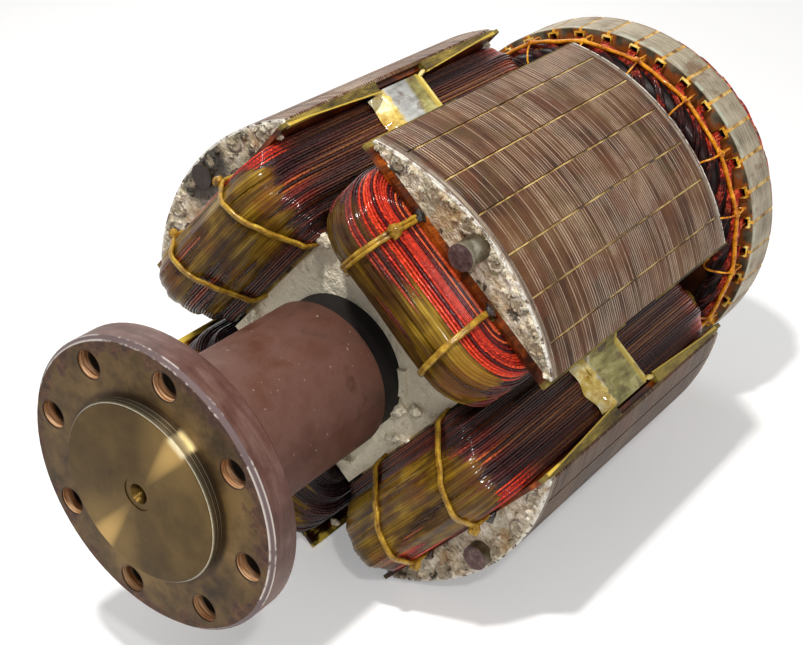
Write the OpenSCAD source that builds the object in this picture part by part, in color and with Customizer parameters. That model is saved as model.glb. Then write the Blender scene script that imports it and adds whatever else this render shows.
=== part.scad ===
// Rotor of a four-pole brushless generator, lying on its own poles.
// Millimetres, +Z up. The shaft lies along Y and the coupling flange faces -Y.
// The origin is on the shaft's axis, in the mating face of the flange.
// Poles stand at 45, 135, 225 and 315 degrees from +Z, turning towards +X.

/* [Coupling flange] */
// Thickness of the flange
flange_t = 27; // [18:1:40]
// Bevel on both rims of the flange
flange_bevel = 3; // [1:0.5:4]
// Diameter of the bolt circle
bolt_circle_d = 190; // [185:1:192]
// Metal between the bolt circle and the flange's rim
flange_edge = 19.5; // [16:0.5:26]
// Number of coupling bolts
bolt_count = 8; // [6:1:10]
// Bore of each coupling bolt hole
bolt_hole_d = 22; // [14:1:24]
// Turn of the first bolt hole from +Z
bolt_turn = 18.4; // [0:0.1:44]
// Diameter of the centring spigot
spigot_d = 140; // [100:1:156]
// Height of the spigot above the flange face
spigot_h = 9; // [5:1:14]
// Bevel round the spigot's face
spigot_bevel = 1.5; // [0.5:0.5:3]
// Shallow recess that guards the turning centre in the spigot
centre_guard_d = 26; // [22:1:34]
// Mouth of the turning centre
centre_mouth_d = 16; // [12:1:20]
// Pilot bore of the turning centre
centre_pilot_d = 8; // [5:1:10]
// Depth of the pilot bore from the spigot's face
centre_depth = 26; // [16:1:40]

/* [Shaft] */
// Diameter between the flange and the core
shaft_d = 126; // [121:1:136]
// Bevel at the end of the thick shaft
shaft_bevel = 3; // [1:0.5:5]
// Bare neck between the thick shaft and the core
neck_len = 23; // [12:1:40]
// Diameter of the seat that carries the core
core_seat_d = 118; // [112:1:120]
// Radius that is left between the core seat and the bare shaft behind it
rear_step = 5; // [3:0.5:8]
// Diameter of the seat that carries the exciter
exciter_seat_d = 100; // [92:1:106]
// Diameter of the bearing seat
bearing_seat_d = 80; // [60:1:90]
// Length of the bearing seat
bearing_seat_len = 41; // [30:1:60]
// Relief between the exciter seat and the bearing seat
relief_len = 24; // [12:1:40]
// Bevel at the free end of the shaft
end_bevel = 3; // [1:0.5:5]

/* [Laminated core] */
// Diameter over the pole faces
rotor_d = 400; // [392:1:408]
// Distance from the flange's mating face to the laminations
stack_start = 223; // [215:1:240]
// Length of the lamination stack
stack_len = 268; // [240:1:300]
// Thickness of each end plate
end_plate_t = 7; // [5:0.5:9]
// Arc that one pole face covers
pole_arc = 65; // [63:0.5:66]
// Thickness of the pole shoe at its tips
shoe_tip_t = 3.2; // [2:0.1:5]
// Width of the pole body that carries the coil
pole_body_w = 112; // [100:1:116]
// Height between the square hub and the shoe's underside
coil_space = 84.5; // [82:0.5:90]
// Width of the key in the core's bore
key_w = 24; // [18:1:30]
// Height of the key
key_h = 12; // [8:1:16]

/* [Damper cage] */
// Diameter of the damper bars
bar_d = 10; // [8:0.5:11]
// Number of damper bars in one pole
bar_count = 6; // [4:1:6]
// Angle from each pole tip to the outermost damper bar
bar_edge = 7.25; // [6.5:0.25:10]
// Iron left between a damper bar and the pole face
bar_cover = 3; // [2:0.5:5]
// Width of the slot mouth over each bar
bar_mouth = 2; // [1.5:0.1:3]
// Length that each bar stands out of the end plates
bar_stand = 1.5; // [0.5:0.5:3]
// Running clearance of the bars in the iron
bar_fit = 0.2; // [0.1:0.1:0.4]

/* [Pole bolts] */
// Diameter of the bolt that clamps each pole's laminations
pole_bolt_d = 21; // [16:1:22]
// Depth of the pole bolt's centre below the pole face
pole_bolt_depth = 13; // [12.5:0.5:16]
// Length that the first and third poles' bolts stand out of the drive end plate
pole_bolt_stand = 22; // [10:1:30]
// Length that the second pole's bolt, cut shorter, stands out there
short_bolt_stand = 10; // [4:1:20]
// Length that the fourth pole's bolt, cut off near the plate, stands out there
stub_bolt_stand = 4; // [2:1:8]
// Length that the bolt stands out of the rear end plate
pole_bolt_rear_stand = 6; // [3:1:14]

/* [Field coils] */
// Height of the coil's underside above the hub
coil_seat = 1.5; // [1:0.5:3]
// Thickness of the insulating collar under the shoe
collar_t = 4; // [2:0.5:5]
// Insulation between the pole body and the coil
body_wrap = 1.5; // [1:0.5:3]
// Room for a lashing between the end plate and the coil
lashing_d = 4; // [3:0.5:5]
// Amount that the top layers draw in along the side of the pole
top_draw_in = 4; // [2:0.5:8]
// Turns' build over the pole's end, in the layers next to the hub
foot_end_build = 25; // [18:1:32]
// Turns' build over the pole's end, in the layers above those
waist_end_build = 36; // [28:1:40]
// Turns' build over the pole's end, in the widest layers
end_build = 43; // [36:1:48]
// Turns' build over the pole's end, in the layers under the collar
top_end_build = 26.5; // [20:0.5:34]
// Height of the widest layers above the coil's underside
belly_low = 24; // [22:1:28]
// Height at which the coil draws in again under the collar
belly_high = 66; // [58:1:70]
// Distance of the two lashings from the pole's centre
lashing_offset = 45; // [35:1:52]

/* [Coil supports] */
// Thickness of the angle that wedges two coils apart
support_t = 6; // [4:0.5:7]
// Distance that the angle's legs stay inside the pole tips
support_inset = 3.3; // [2:0.1:6]
// Length of each support along the shaft
support_len = 48; // [30:1:60]
// Thickness of the insulating sheet below the support
sheet_t = 2; // [1.5:0.5:2.5]
// Thickness of the insulation turned up at the support's ends
upstand_t = 3.5; // [2:0.5:5]
// Diameter of the bolt that holds a support to the hub
support_bolt_d = 12; // [8:1:14]
// Width of the bolt's countersunk head
support_head_d = 17; // [15:1:19]

/* [Exciter armature] */
// Diameter over the exciter's teeth
exciter_d = 346; // [336:1:352]
// Bore of the exciter's laminations
exciter_bore_d = 236; // [220:1:244]
// Distance from the flange's mating face to the exciter's teeth
exciter_start = 611; // [600:1:630]
// Length of the exciter's teeth
exciter_len = 43; // [34:1:60]
// Number of slots
slot_count = 36; // [30:1:38]
// Width of a slot
slot_w = 10.5; // [9:0.5:12]
// Depth of iron over a slot's closed part
slot_lip = 3; // [2:0.5:4]
// Depth of a slot
slot_depth = 24; // [18:1:26]
// Width of a slot's mouth
slot_mouth = 3.5; // [2.5:0.5:4.5]
// Thickness of the slot's insulating liner
liner_t = 1; // [0.6:0.1:1.2]
// Length that the liners stand out of the teeth
liner_stand = 3; // [1:1:7]
// Reach of the winding beyond the teeth
winding_reach = 36; // [26:1:42]
// Thickness of the winding's ring next to the teeth
winding_build = 24; // [20:1:26]
// Drop of the ring's outside at the middle of its reach
ring_mid_drop = 4; // [2:1:6]
// Drop of the ring's outside at its free end
ring_end_drop = 12; // [7:1:16]
// Drop of the ring's inside from the middle of its reach on
ring_sag = 5; // [2:1:8]
// Diameter of the lacing cord
lacing_d = 4; // [3:0.5:5]
// Thickness of the exciter hub's web
web_t = 16; // [10:1:24]
// Thickness of the exciter hub's rim
rim_t = 10; // [8:1:14]
// Outside diameter of the exciter hub's boss
boss_d = 136; // [126:1:150]

/* [Hidden] */
$fn = 96;
pole_turns = [45, 135, 225, 315];
poles = [1:len(pole_turns)];
function numbered(name) = [for (k = poles) str(name, "_", k)];

// A cut runs this far past the face that it opens.
eps = 1;
// Two faces that lie against each other without touching keep this apart.
seat_gap = 0.2;

flange_d = bolt_circle_d + 2 * flange_edge;
rotor_r = rotor_d / 2;
stack_end = stack_start + stack_len;
plates_start = stack_start - end_plate_t;
plates_end = stack_end + end_plate_t;
stack_mid = stack_start + stack_len / 2;
thick_end = plates_start - neck_len;

// Turning centre
centre_guard_t = 0.6;

// Pole and hub outline
shoe_half = rotor_r * sin(pole_arc / 2);
tip_w = rotor_r * cos(pole_arc / 2);
shoe_under = tip_w - shoe_tip_t;
hub_half = shoe_under - coil_space;
body_half = pole_body_w / 2;
pole_bolt_w = rotor_r - pole_bolt_depth;
key_stand = 3;

// Damper bars
bar_r = rotor_r - bar_cover - bar_d / 2;
bar_slot_d = bar_d + 2 * bar_fit;
bar_pitch = (pole_arc - 2 * bar_edge) / (bar_count - 1);
function bar_angle(i) = (i - (bar_count - 1) / 2) * bar_pitch;

// Coil supports: the angle's legs lie over the coils' outer sides
leg_top = shoe_half - support_inset;
leg_face = leg_top - support_t;
sheet_face = leg_face - sheet_t;
sheet_end_gap = 1;

// Coil layers: each row is [underside, top, side build, end build] of one band of turns
coil_low = hub_half + coil_seat;
coil_top = shoe_under - collar_t - seat_gap;
coil_inner_half = body_half + body_wrap;
coil_side = sheet_face - seat_gap;
side_build = coil_side - coil_inner_half;
end_wrap_t = 2.5;
coil_inner_start = plates_start - end_wrap_t - lashing_d;
coil_inner_end = plates_end + end_wrap_t + lashing_d;
inner_corner = 6;
diagonal_gap = 6;
foot_half = coil_low - diagonal_gap;
waist_w = coil_low + belly_low / 2;
waist_half = waist_w - diagonal_gap - seat_gap;
bands = [
    [coil_low, waist_w, foot_half - coil_inner_half, foot_end_build],
    [waist_w, coil_low + belly_low, waist_half - coil_inner_half, waist_end_build],
    [coil_low + belly_low, coil_low + belly_high, side_build, end_build],
    [coil_low + belly_high, coil_top, side_build - top_draw_in, top_end_build]];

// Lashings: a cord is pressed to this share of its thickness where it lies under a load
cord_press = 0.6;
lashing_slack = 1;

// Collar and the lips that run down from it along the pole tips
collar_lip = 7;
notch_w = lashing_d + 3;
notch_depth = collar_lip - end_wrap_t;
tip_lip_t = 1.5;
tip_lip_top = tip_w - 2.5;
tip_lip_drop = 5.5;
tip_lip_end_h = 3;
collar_gap = 1;
support_room = support_len + 4 * upstand_t;

// Seat and bolt of each support
leg_reach = coil_top - 2;
seat_run = 14;
seat_c = (2 * leg_top + seat_run) / sqrt(2);
hub_corner_c = hub_half * sqrt(2);
support_bolt_grip = 20;
support_head_t = (support_head_d - support_bolt_d) / 2;
support_start = stack_mid - support_len / 2;
support_end = stack_mid + support_len / 2;

// Shaft steps behind the core
rear_shaft_d = core_seat_d - 2 * rear_step;
seat_margin = 4;
step_run = 2;
exciter_end = exciter_start + exciter_len;
boss_margin = 6;
boss_start = exciter_start - boss_margin;
boss_end = exciter_end + boss_margin;
bearing_start = exciter_end + winding_reach + relief_len / 2;
relief_start = boss_end + boss_margin;
relief_d = (exciter_seat_d + bearing_seat_d) / 2;
shaft_end = bearing_start + bearing_seat_len;

// Exciter radii
exciter_r = exciter_d / 2;
slot_top_r = exciter_r - slot_lip;
slot_foot_r = slot_top_r - slot_depth;
rim_inner_r = exciter_bore_d / 2 - rim_t;
slot_pitch = 360 / slot_count;
stub_len = 10;
wire_drop = 3;
winding_r = slot_top_r - liner_t - wire_drop;
tie_every = 2;
ring_near = exciter_len / 2 + stub_len;
ring_far = exciter_len / 2 + winding_reach;
ring_mid = (ring_near + ring_far) / 2;
ring_inner_r = winding_r - winding_build;
exciter_mid = exciter_start + exciter_len / 2;
strip_side_gap = 0.1;
strip_recess = 0.3;
// A slot's mouth points straight at each pole's centre line.
slot_turn = 45;

// Places its children on one pole: X across the pole, Y along the shaft, Z out of the pole.
module on_pole(k) {
    rotate([0, pole_turns[k - 1], 0]) children();
}

// Places its children in the gap behind pole k, with Z out along the gap's middle.
module on_gap(k) {
    rotate([0, pole_turns[k - 1] + 45, 0]) children();
}

// Extrudes a section drawn across the shaft, from one distance along the shaft to another.
module along_shaft(from, to) {
    translate([0, to, 0]) rotate([90, 0, 0]) linear_extrude(to - from) children();
}

// A turned body: the profile's X is the radius and its Y the distance along the shaft.
module turned() {
    rotate([-90, 0, 0]) rotate_extrude() children();
}

module shaft() {
    color([0.45, 0.28, 0.24]) difference() {
        turned() polygon([
            [0, -spigot_h],
            [spigot_d / 2 - spigot_bevel, -spigot_h],
            [spigot_d / 2, spigot_bevel - spigot_h],
            [spigot_d / 2, 0],
            [flange_d / 2 - flange_bevel, 0],
            [flange_d / 2, flange_bevel],
            [flange_d / 2, flange_t - flange_bevel],
            [flange_d / 2 - flange_bevel, flange_t],
            [shaft_d / 2, flange_t],
            [shaft_d / 2, thick_end - shaft_bevel],
            [shaft_d / 2 - shaft_bevel, thick_end],
            [core_seat_d / 2, thick_end],
            [core_seat_d / 2, plates_end + seat_margin],
            [rear_shaft_d / 2, plates_end + seat_margin + step_run],
            [rear_shaft_d / 2, boss_start - seat_margin - step_run],
            [exciter_seat_d / 2, boss_start - seat_margin],
            [exciter_seat_d / 2, relief_start],
            [relief_d / 2, relief_start],
            [relief_d / 2, bearing_start],
            [bearing_seat_d / 2, bearing_start],
            [bearing_seat_d / 2, shaft_end - end_bevel],
            [bearing_seat_d / 2 - end_bevel, shaft_end],
            [0, shaft_end]]);
        coupling_holes();
        turning_centre();
        key_bar(seat_gap);
    }
}

module coupling_holes() {
    for (i = [0:bolt_count - 1])
        rotate([0, bolt_turn + i * 360 / bolt_count, 0])
            translate([0, flange_t + eps, bolt_circle_d / 2])
                rotate([90, 0, 0]) cylinder(h = flange_t + 2 * eps, d = bolt_hole_d);
}

// The turning centre: a guard recess, then a 60 degree cone running into a pilot bore.
module turning_centre() {
    cone_len = (centre_mouth_d - centre_pilot_d) / 2 * sqrt(3);
    guard_floor = centre_guard_t - spigot_h;
    turned() polygon([
        [0, -spigot_h - eps],
        [centre_guard_d / 2, -spigot_h - eps],
        [centre_guard_d / 2, guard_floor],
        [centre_mouth_d / 2, guard_floor],
        [centre_pilot_d / 2, guard_floor + cone_len],
        [centre_pilot_d / 2, centre_depth - spigot_h],
        [0, centre_depth - spigot_h]]);
}

module core_section() {
    square(2 * hub_half, center = true);
    for (k = poles) rotate(-pole_turns[k - 1] + 45) pole_section();
}

// One pole, drawn with its centre line along +Y.
module pole_section() {
    translate([-body_half, 0]) square([pole_body_w, shoe_under + eps]);
    intersection() {
        circle(rotor_r, $fn = 360);
        translate([-shoe_half, shoe_under]) square([2 * shoe_half, rotor_r - shoe_under]);
    }
}

module core_bore() {
    circle(core_seat_d / 2);
    key_section(seat_gap);
}

// The key lies in the gap-side corner of the bore, between the first two poles.
module key_section(clear) {
    rotate(-45) translate([-key_w / 2 - clear, core_seat_d / 2 - key_h / 2 - clear])
        square([key_w + 2 * clear, key_h + 2 * clear]);
}

module core_laminations() {
    color([0.42, 0.32, 0.28]) difference() {
        rotate([0, pole_turns[0], 0]) along_shaft(stack_start, stack_end) difference() {
            core_section();
            core_bore();
            for (k = poles) rotate(-pole_turns[k - 1] + 45) {
                bar_slots();
                translate([0, pole_bolt_w]) circle(pole_bolt_d / 2 + seat_gap);
            }
        }
        for (k = poles) on_gap(k) translate([0, stack_mid, hub_corner_c - support_bolt_grip])
            cylinder(h = support_bolt_grip + eps, d = support_bolt_d + 2 * seat_gap);
    }
}

module bar_slots() {
    for (i = [0:bar_count - 1]) rotate(-bar_angle(i)) {
        translate([0, bar_r]) circle(bar_slot_d / 2);
        translate([-bar_mouth / 2, bar_r]) square([bar_mouth, rotor_r - bar_r + eps]);
    }
}

module key_bar(clear) {
    rotate([0, pole_turns[0], 0]) along_shaft(plates_start - key_stand - clear, plates_end + clear)
        key_section(clear);
}

module core_key() {
    color([0.75, 0.70, 0.55]) key_bar(0);
}

// End plate of the core, brazed to the damper bars that run through it.
module end_plate(from, to) {
    color([0.85, 0.80, 0.68]) rotate([0, pole_turns[0], 0]) along_shaft(from, to) difference() {
        core_section();
        core_bore();
        for (k = poles) rotate(-pole_turns[k - 1] + 45) {
            for (i = [0:bar_count - 1]) rotate(-bar_angle(i)) translate([0, bar_r])
                circle(bar_slot_d / 2);
            translate([0, pole_bolt_w]) circle(pole_bolt_d / 2 + seat_gap);
        }
    }
}

module drive_end_plate() {
    end_plate(plates_start, stack_start);
}

module rear_end_plate() {
    end_plate(stack_end, plates_end);
}

module damper_bars(k) {
    color([0.80, 0.62, 0.30]) on_pole(k) for (i = [0:bar_count - 1])
        rotate([0, bar_angle(i), 0]) translate([0, plates_end + bar_stand, bar_r])
            rotate([90, 0, 0]) cylinder(h = plates_end - plates_start + 2 * bar_stand, d = bar_d);
}

module pole_bolt(k) {
    stand = k == 2 ? short_bolt_stand : k == 4 ? stub_bolt_stand : pole_bolt_stand;
    bolt_start = plates_start - stand;
    bolt_end = plates_end + pole_bolt_rear_stand;
    color([0.50, 0.42, 0.36]) on_pole(k) translate([0, bolt_end, pole_bolt_w])
        rotate([90, 0, 0]) cylinder(h = bolt_end - bolt_start, d = pole_bolt_d);
}

// Flat outline in the X-Y plane with four rounded corners.
module rounded_box(half_x, from_y, to_y, r) {
    translate([r - half_x, from_y]) square([2 * (half_x - r), to_y - from_y]);
    translate([-half_x, from_y + r]) square([2 * half_x, to_y - from_y - 2 * r]);
    for (x = [r - half_x, half_x - r], y = [from_y + r, to_y - r]) translate([x, y]) circle(r);
}

// Insulation wrapped round the pole's body, from the hub to the collar.
module pole_wrap(k) {
    color([0.80, 0.62, 0.25]) on_pole(k) translate([0, 0, hub_half + seat_gap])
        linear_extrude(coil_top - hub_half - seat_gap) difference() {
            translate([-body_half - body_wrap + seat_gap, plates_start - end_wrap_t])
                square([2 * (body_half + body_wrap - seat_gap),
                        plates_end - plates_start + 2 * end_wrap_t]);
            translate([-body_half, plates_start])
                square([pole_body_w, plates_end - plates_start]);
        }
}

// Insulating collar between the coil and the pole shoe, notched for the lashings,
// with a lip that tapers from each end of the pole down to the coil support.
module coil_collar(k) {
    color([0.85, 0.55, 0.12]) on_pole(k) {
        translate([0, 0, coil_top + seat_gap]) linear_extrude(collar_t - seat_gap) difference() {
            translate([-shoe_half - tip_lip_t, plates_start - collar_lip])
                square([2 * (shoe_half + tip_lip_t), plates_end - plates_start + 2 * collar_lip]);
            translate([-body_half, plates_start])
                square([pole_body_w, plates_end - plates_start]);
            for (x = [-lashing_offset, lashing_offset], y = [plates_start - collar_lip - eps,
                 plates_end + collar_lip - notch_depth])
                translate([x - notch_w / 2, y]) square([notch_w, notch_depth + eps]);
            for (side = [-1, 1]) translate([side * (shoe_half + tip_lip_t), stack_mid])
                square([2 * (shoe_half + tip_lip_t - leg_top) + eps, support_room], center = true);
        }
        for (side = [-1, 1]) translate([side * (shoe_half + tip_lip_t / 2 + seat_gap), 0, 0])
            tip_lip();
    }
}

module tip_lip() {
    near_support = support_room / 2 + collar_gap;
    plate_end = stack_len / 2 + end_plate_t;
    translate([-tip_lip_t / 2, 0, 0]) rotate([90, 0, 90]) linear_extrude(tip_lip_t) for (m = [0, 1])
        translate([stack_mid, 0]) mirror([m, 0]) polygon([
            [near_support, coil_top - tip_lip_drop],
            [near_support, tip_lip_top],
            [plate_end, tip_lip_top],
            [plate_end, tip_lip_top - tip_lip_end_h]]);
}

// One field coil: bands of turns wound round the pole's body.
module field_coil(k) {
    color([0.50, 0.12, 0.10]) on_pole(k) for (b = bands)
        translate([0, 0, b[0]]) linear_extrude(b[1] - b[0]) difference() {
            rounded_box(coil_inner_half + b[2], coil_inner_start - b[3], coil_inner_end + b[3],
                        inner_corner + min(b[2], b[3]));
            rounded_box(coil_inner_half, coil_inner_start, coil_inner_end, inner_corner);
        }
}

// Outline of the coil's end, drawn with X as the distance out from the core.
function end_outline() = [
    [0, coil_low],
    [foot_end_build, coil_low],
    [end_build, bands[2][0]],
    [end_build, bands[2][1]],
    [top_end_build, coil_top],
    [0, coil_top]];

// Resin-soaked cords tied round the coil's two ends.
module coil_lashings(k) {
    color([0.80, 0.60, 0.20]) on_pole(k) for (x = [-lashing_offset, lashing_offset], m = [0, 1])
        translate([x - lashing_d / 2, stack_mid, 0]) mirror([0, m, 0])
            rotate([90, 0, 90]) linear_extrude(lashing_d) lashing_loop();
}

module lashing_loop() {
    out = coil_inner_end - stack_mid;
    under = lashing_d * cord_press;
    belly = out + end_build + lashing_d;
    difference() {
        polygon([
            [out - lashing_d, coil_low - under],
            [out + foot_end_build + lashing_slack, coil_low - under],
            [belly, bands[2][0] - lashing_slack],
            [belly, bands[2][1] + lashing_slack],
            [out + top_end_build + lashing_slack, coil_top + lashing_d],
            [out - lashing_d, coil_top + lashing_d]]);
        translate([out, 0]) polygon(end_outline());
    }
}

// Section of an angle that lies over the outer sides of two neighbouring coils.
module angle_section(inner, outer, reach) {
    polygon([[inner, inner], [reach, inner], [reach, outer], [outer, outer], [outer, reach],
             [inner, reach]]);
}

module support_sheet(k) {
    reach = leg_reach - sheet_end_gap;
    color([0.85, 0.70, 0.20]) difference() {
        on_pole(k) {
            along_shaft(support_start - upstand_t, support_end + upstand_t)
                angle_section(sheet_face, leg_face - seat_gap, reach);
            for (y = [support_start - upstand_t, support_end + seat_gap])
                along_shaft(y, y + upstand_t - seat_gap)
                    angle_section(sheet_face, leg_top, reach);
        }
        support_bore(k);
    }
}

// The angle that wedges two coils apart, with a flat seat for its bolt in the corner.
module coil_support(k) {
    color([0.60, 0.60, 0.58]) difference() {
        on_pole(k) along_shaft(support_start, support_end) {
            angle_section(leg_face, leg_top, leg_reach);
            polygon([[leg_top, leg_top], [leg_top + seat_run, leg_top],
                     [leg_top, leg_top + seat_run]]);
        }
        support_bore(k);
    }
}

module support_bore(k) {
    bore_d = support_bolt_d + 2 * seat_gap;
    sink_t = support_head_t + seat_gap;
    on_gap(k) translate([0, stack_mid, 0]) {
        translate([0, 0, hub_corner_c]) cylinder(h = seat_c - hub_corner_c + eps, d = bore_d);
        translate([0, 0, seat_c - sink_t])
            cylinder(h = sink_t + eps, d1 = bore_d, d2 = bore_d + 2 * (sink_t + eps));
    }
}

// Countersunk screws, sunk just below the seats of their supports.
module support_bolts() {
    head_top = seat_c - seat_gap;
    color([0.45, 0.42, 0.40]) for (k = poles) on_gap(k) translate([0, stack_mid, 0]) {
        translate([0, 0, hub_corner_c - support_bolt_grip + seat_gap])
            cylinder(h = head_top - hub_corner_c + support_bolt_grip - seat_gap, d = support_bolt_d);
        translate([0, 0, head_top - support_head_t])
            cylinder(h = support_head_t, d1 = support_bolt_d, d2 = support_head_d);
    }
}

// A boss on the shaft with a web round it, which carries the rim.
module exciter_hub() {
    web_r = rim_inner_r - seat_gap;
    color([0.35, 0.30, 0.28]) turned() {
        translate([exciter_seat_d / 2, boss_start])
            square([(boss_d - exciter_seat_d) / 2, boss_end - boss_start]);
        translate([exciter_seat_d / 2, exciter_mid - web_t / 2])
            square([web_r - exciter_seat_d / 2, web_t]);
    }
}

module exciter_rim() {
    color([0.38, 0.33, 0.30]) along_shaft(exciter_start, exciter_end) difference() {
        circle(exciter_bore_d / 2);
        circle(rim_inner_r);
    }
}

module exciter_slots(width, foot, top) {
    for (i = [0:slot_count - 1]) rotate(i * slot_pitch) translate([-width / 2, foot])
        square([width, top - foot]);
}

module exciter_teeth() {
    color([0.68, 0.68, 0.60]) rotate([0, slot_turn, 0]) along_shaft(exciter_start, exciter_end)
        difference() {
            circle(exciter_r, $fn = 360);
            circle(exciter_bore_d / 2);
            exciter_slots(slot_w, slot_foot_r, slot_top_r);
            exciter_slots(slot_mouth, slot_foot_r, exciter_r + eps);
        }
}

// Slot liners: a folded sheet in each slot that stands out at both ends.
module exciter_liners() {
    color([0.85, 0.45, 0.15]) rotate([0, slot_turn, 0])
        along_shaft(exciter_start - liner_stand, exciter_end + liner_stand) difference() {
            exciter_slots(slot_w - 2 * seat_gap, slot_foot_r + seat_gap, slot_top_r - seat_gap);
            exciter_slots(slot_w - 2 * liner_t - 2 * seat_gap, slot_foot_r + liner_t + seat_gap,
                          slot_top_r - liner_t - seat_gap);
        }
}

// Strips that close the mouths of the slots.
module exciter_wedges() {
    color([0.75, 0.60, 0.40]) rotate([0, slot_turn, 0])
        along_shaft(exciter_start + seat_gap, exciter_end - seat_gap)
            exciter_slots(slot_mouth - strip_side_gap, slot_top_r - seat_gap / 2,
                          exciter_r - strip_recess);
}

// The coil sides in the slots and the two rings of end turns that join them.
module exciter_winding() {
    wire_w = slot_w - 2 * liner_t - 4 * seat_gap;
    foot = slot_foot_r + liner_t + 2 * seat_gap;
    side_len = ring_near + eps;
    color([0.45, 0.10, 0.08]) {
        rotate([0, slot_turn, 0]) along_shaft(exciter_mid - side_len, exciter_mid + side_len)
            exciter_slots(wire_w, foot, winding_r);
        for (m = [0, 1]) translate([0, exciter_mid, 0]) mirror([0, m, 0])
            turned() polygon(ring_outline(0));
    }
}

// Section of one ring of end turns, grown by `grow`: X is the radius, Y runs away from the teeth.
function ring_outline(grow) = [
    [ring_inner_r - grow, ring_near - grow],
    [winding_r + grow, ring_near - grow],
    [winding_r - ring_mid_drop + grow, ring_mid],
    [winding_r - ring_end_drop + grow, ring_far + grow],
    [ring_inner_r - ring_sag - grow, ring_far + grow],
    [ring_inner_r - ring_sag - grow, ring_mid]];

// Lacing cord round each ring of end turns, with a tie over every second slot.
module exciter_lacing() {
    color([0.90, 0.45, 0.10]) for (m = [0, 1]) translate([0, exciter_mid, 0]) mirror([0, m, 0]) {
        turned() translate([winding_r + lacing_d / 2 - strip_recess, ring_near + lacing_d / 2])
            circle(lacing_d / 2);
        for (i = [0:tie_every:slot_count - 1])
            rotate([0, slot_turn + (i + 0.5) * slot_pitch, 0])
                translate([lacing_d / 2, 0, 0]) rotate([0, -90, 0]) linear_extrude(lacing_d)
                    difference() {
                        polygon(ring_outline(lacing_d * cord_press));
                        polygon(ring_outline(0));
                    }
    }
}

shaft();
core_laminations();
core_key();
drive_end_plate();
rear_end_plate();
for (k = poles) {
    damper_bars(k);
    pole_bolt(k);
    pole_wrap(k);
    coil_collar(k);
    field_coil(k);
    coil_lashings(k);
    support_sheet(k);
    coil_support(k);
}
support_bolts();
exciter_hub();
exciter_rim();
exciter_teeth();
exciter_liners();
exciter_wedges();
exciter_winding();
exciter_lacing();
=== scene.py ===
import math

import bmesh
import bpy
from mathutils import Matrix, Vector, noise


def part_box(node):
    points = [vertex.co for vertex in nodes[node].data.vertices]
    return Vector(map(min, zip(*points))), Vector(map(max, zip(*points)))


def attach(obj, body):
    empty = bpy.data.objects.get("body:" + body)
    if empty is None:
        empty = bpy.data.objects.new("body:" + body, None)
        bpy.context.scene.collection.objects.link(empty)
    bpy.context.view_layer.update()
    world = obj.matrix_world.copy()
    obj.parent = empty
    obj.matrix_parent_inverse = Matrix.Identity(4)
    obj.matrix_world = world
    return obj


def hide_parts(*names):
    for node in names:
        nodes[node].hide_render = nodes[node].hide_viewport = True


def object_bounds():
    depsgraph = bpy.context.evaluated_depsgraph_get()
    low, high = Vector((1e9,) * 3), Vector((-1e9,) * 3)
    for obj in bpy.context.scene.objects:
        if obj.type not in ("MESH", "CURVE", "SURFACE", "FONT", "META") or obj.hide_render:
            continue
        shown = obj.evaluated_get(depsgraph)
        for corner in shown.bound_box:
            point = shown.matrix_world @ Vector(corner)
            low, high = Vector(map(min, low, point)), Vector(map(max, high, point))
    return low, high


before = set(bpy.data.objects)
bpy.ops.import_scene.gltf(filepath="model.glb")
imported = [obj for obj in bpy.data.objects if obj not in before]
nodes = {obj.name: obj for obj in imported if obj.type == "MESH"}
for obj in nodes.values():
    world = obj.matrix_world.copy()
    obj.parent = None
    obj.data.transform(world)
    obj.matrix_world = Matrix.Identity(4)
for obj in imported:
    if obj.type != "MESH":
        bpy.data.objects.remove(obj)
cad_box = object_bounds()

# ---------------------------------------------------------------------------
# Camera and standpoint.
# The rotor lies on two of its poles. It is seen from above its coupling flange,
# a little to the right of the shaft, from about a metre away.
# ---------------------------------------------------------------------------
MM = 0.001
IN_MM = 1000.0
eye = Vector((650.4, -552.9, 550.7)) * MM
sight = Vector((-0.5406, 0.706, -0.4575))
upright = Vector((-0.2475, 0.3863, 0.8886))
camera_data = bpy.data.cameras.new("camera")
camera_data.sensor_width = 36.0
camera_data.lens = 64.38
camera_data.clip_start = 0.05
camera = bpy.data.objects.new("camera", camera_data)
aside = sight.cross(upright).normalized()
upright = aside.cross(sight).normalized()
camera.matrix_world = Matrix((aside, upright, -sight)).transposed().to_4x4()
camera.matrix_world.translation = eye
bpy.context.scene.collection.objects.link(camera)
bpy.context.scene.camera = camera
bpy.context.scene.view_settings.view_transform = "Standard"


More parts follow.
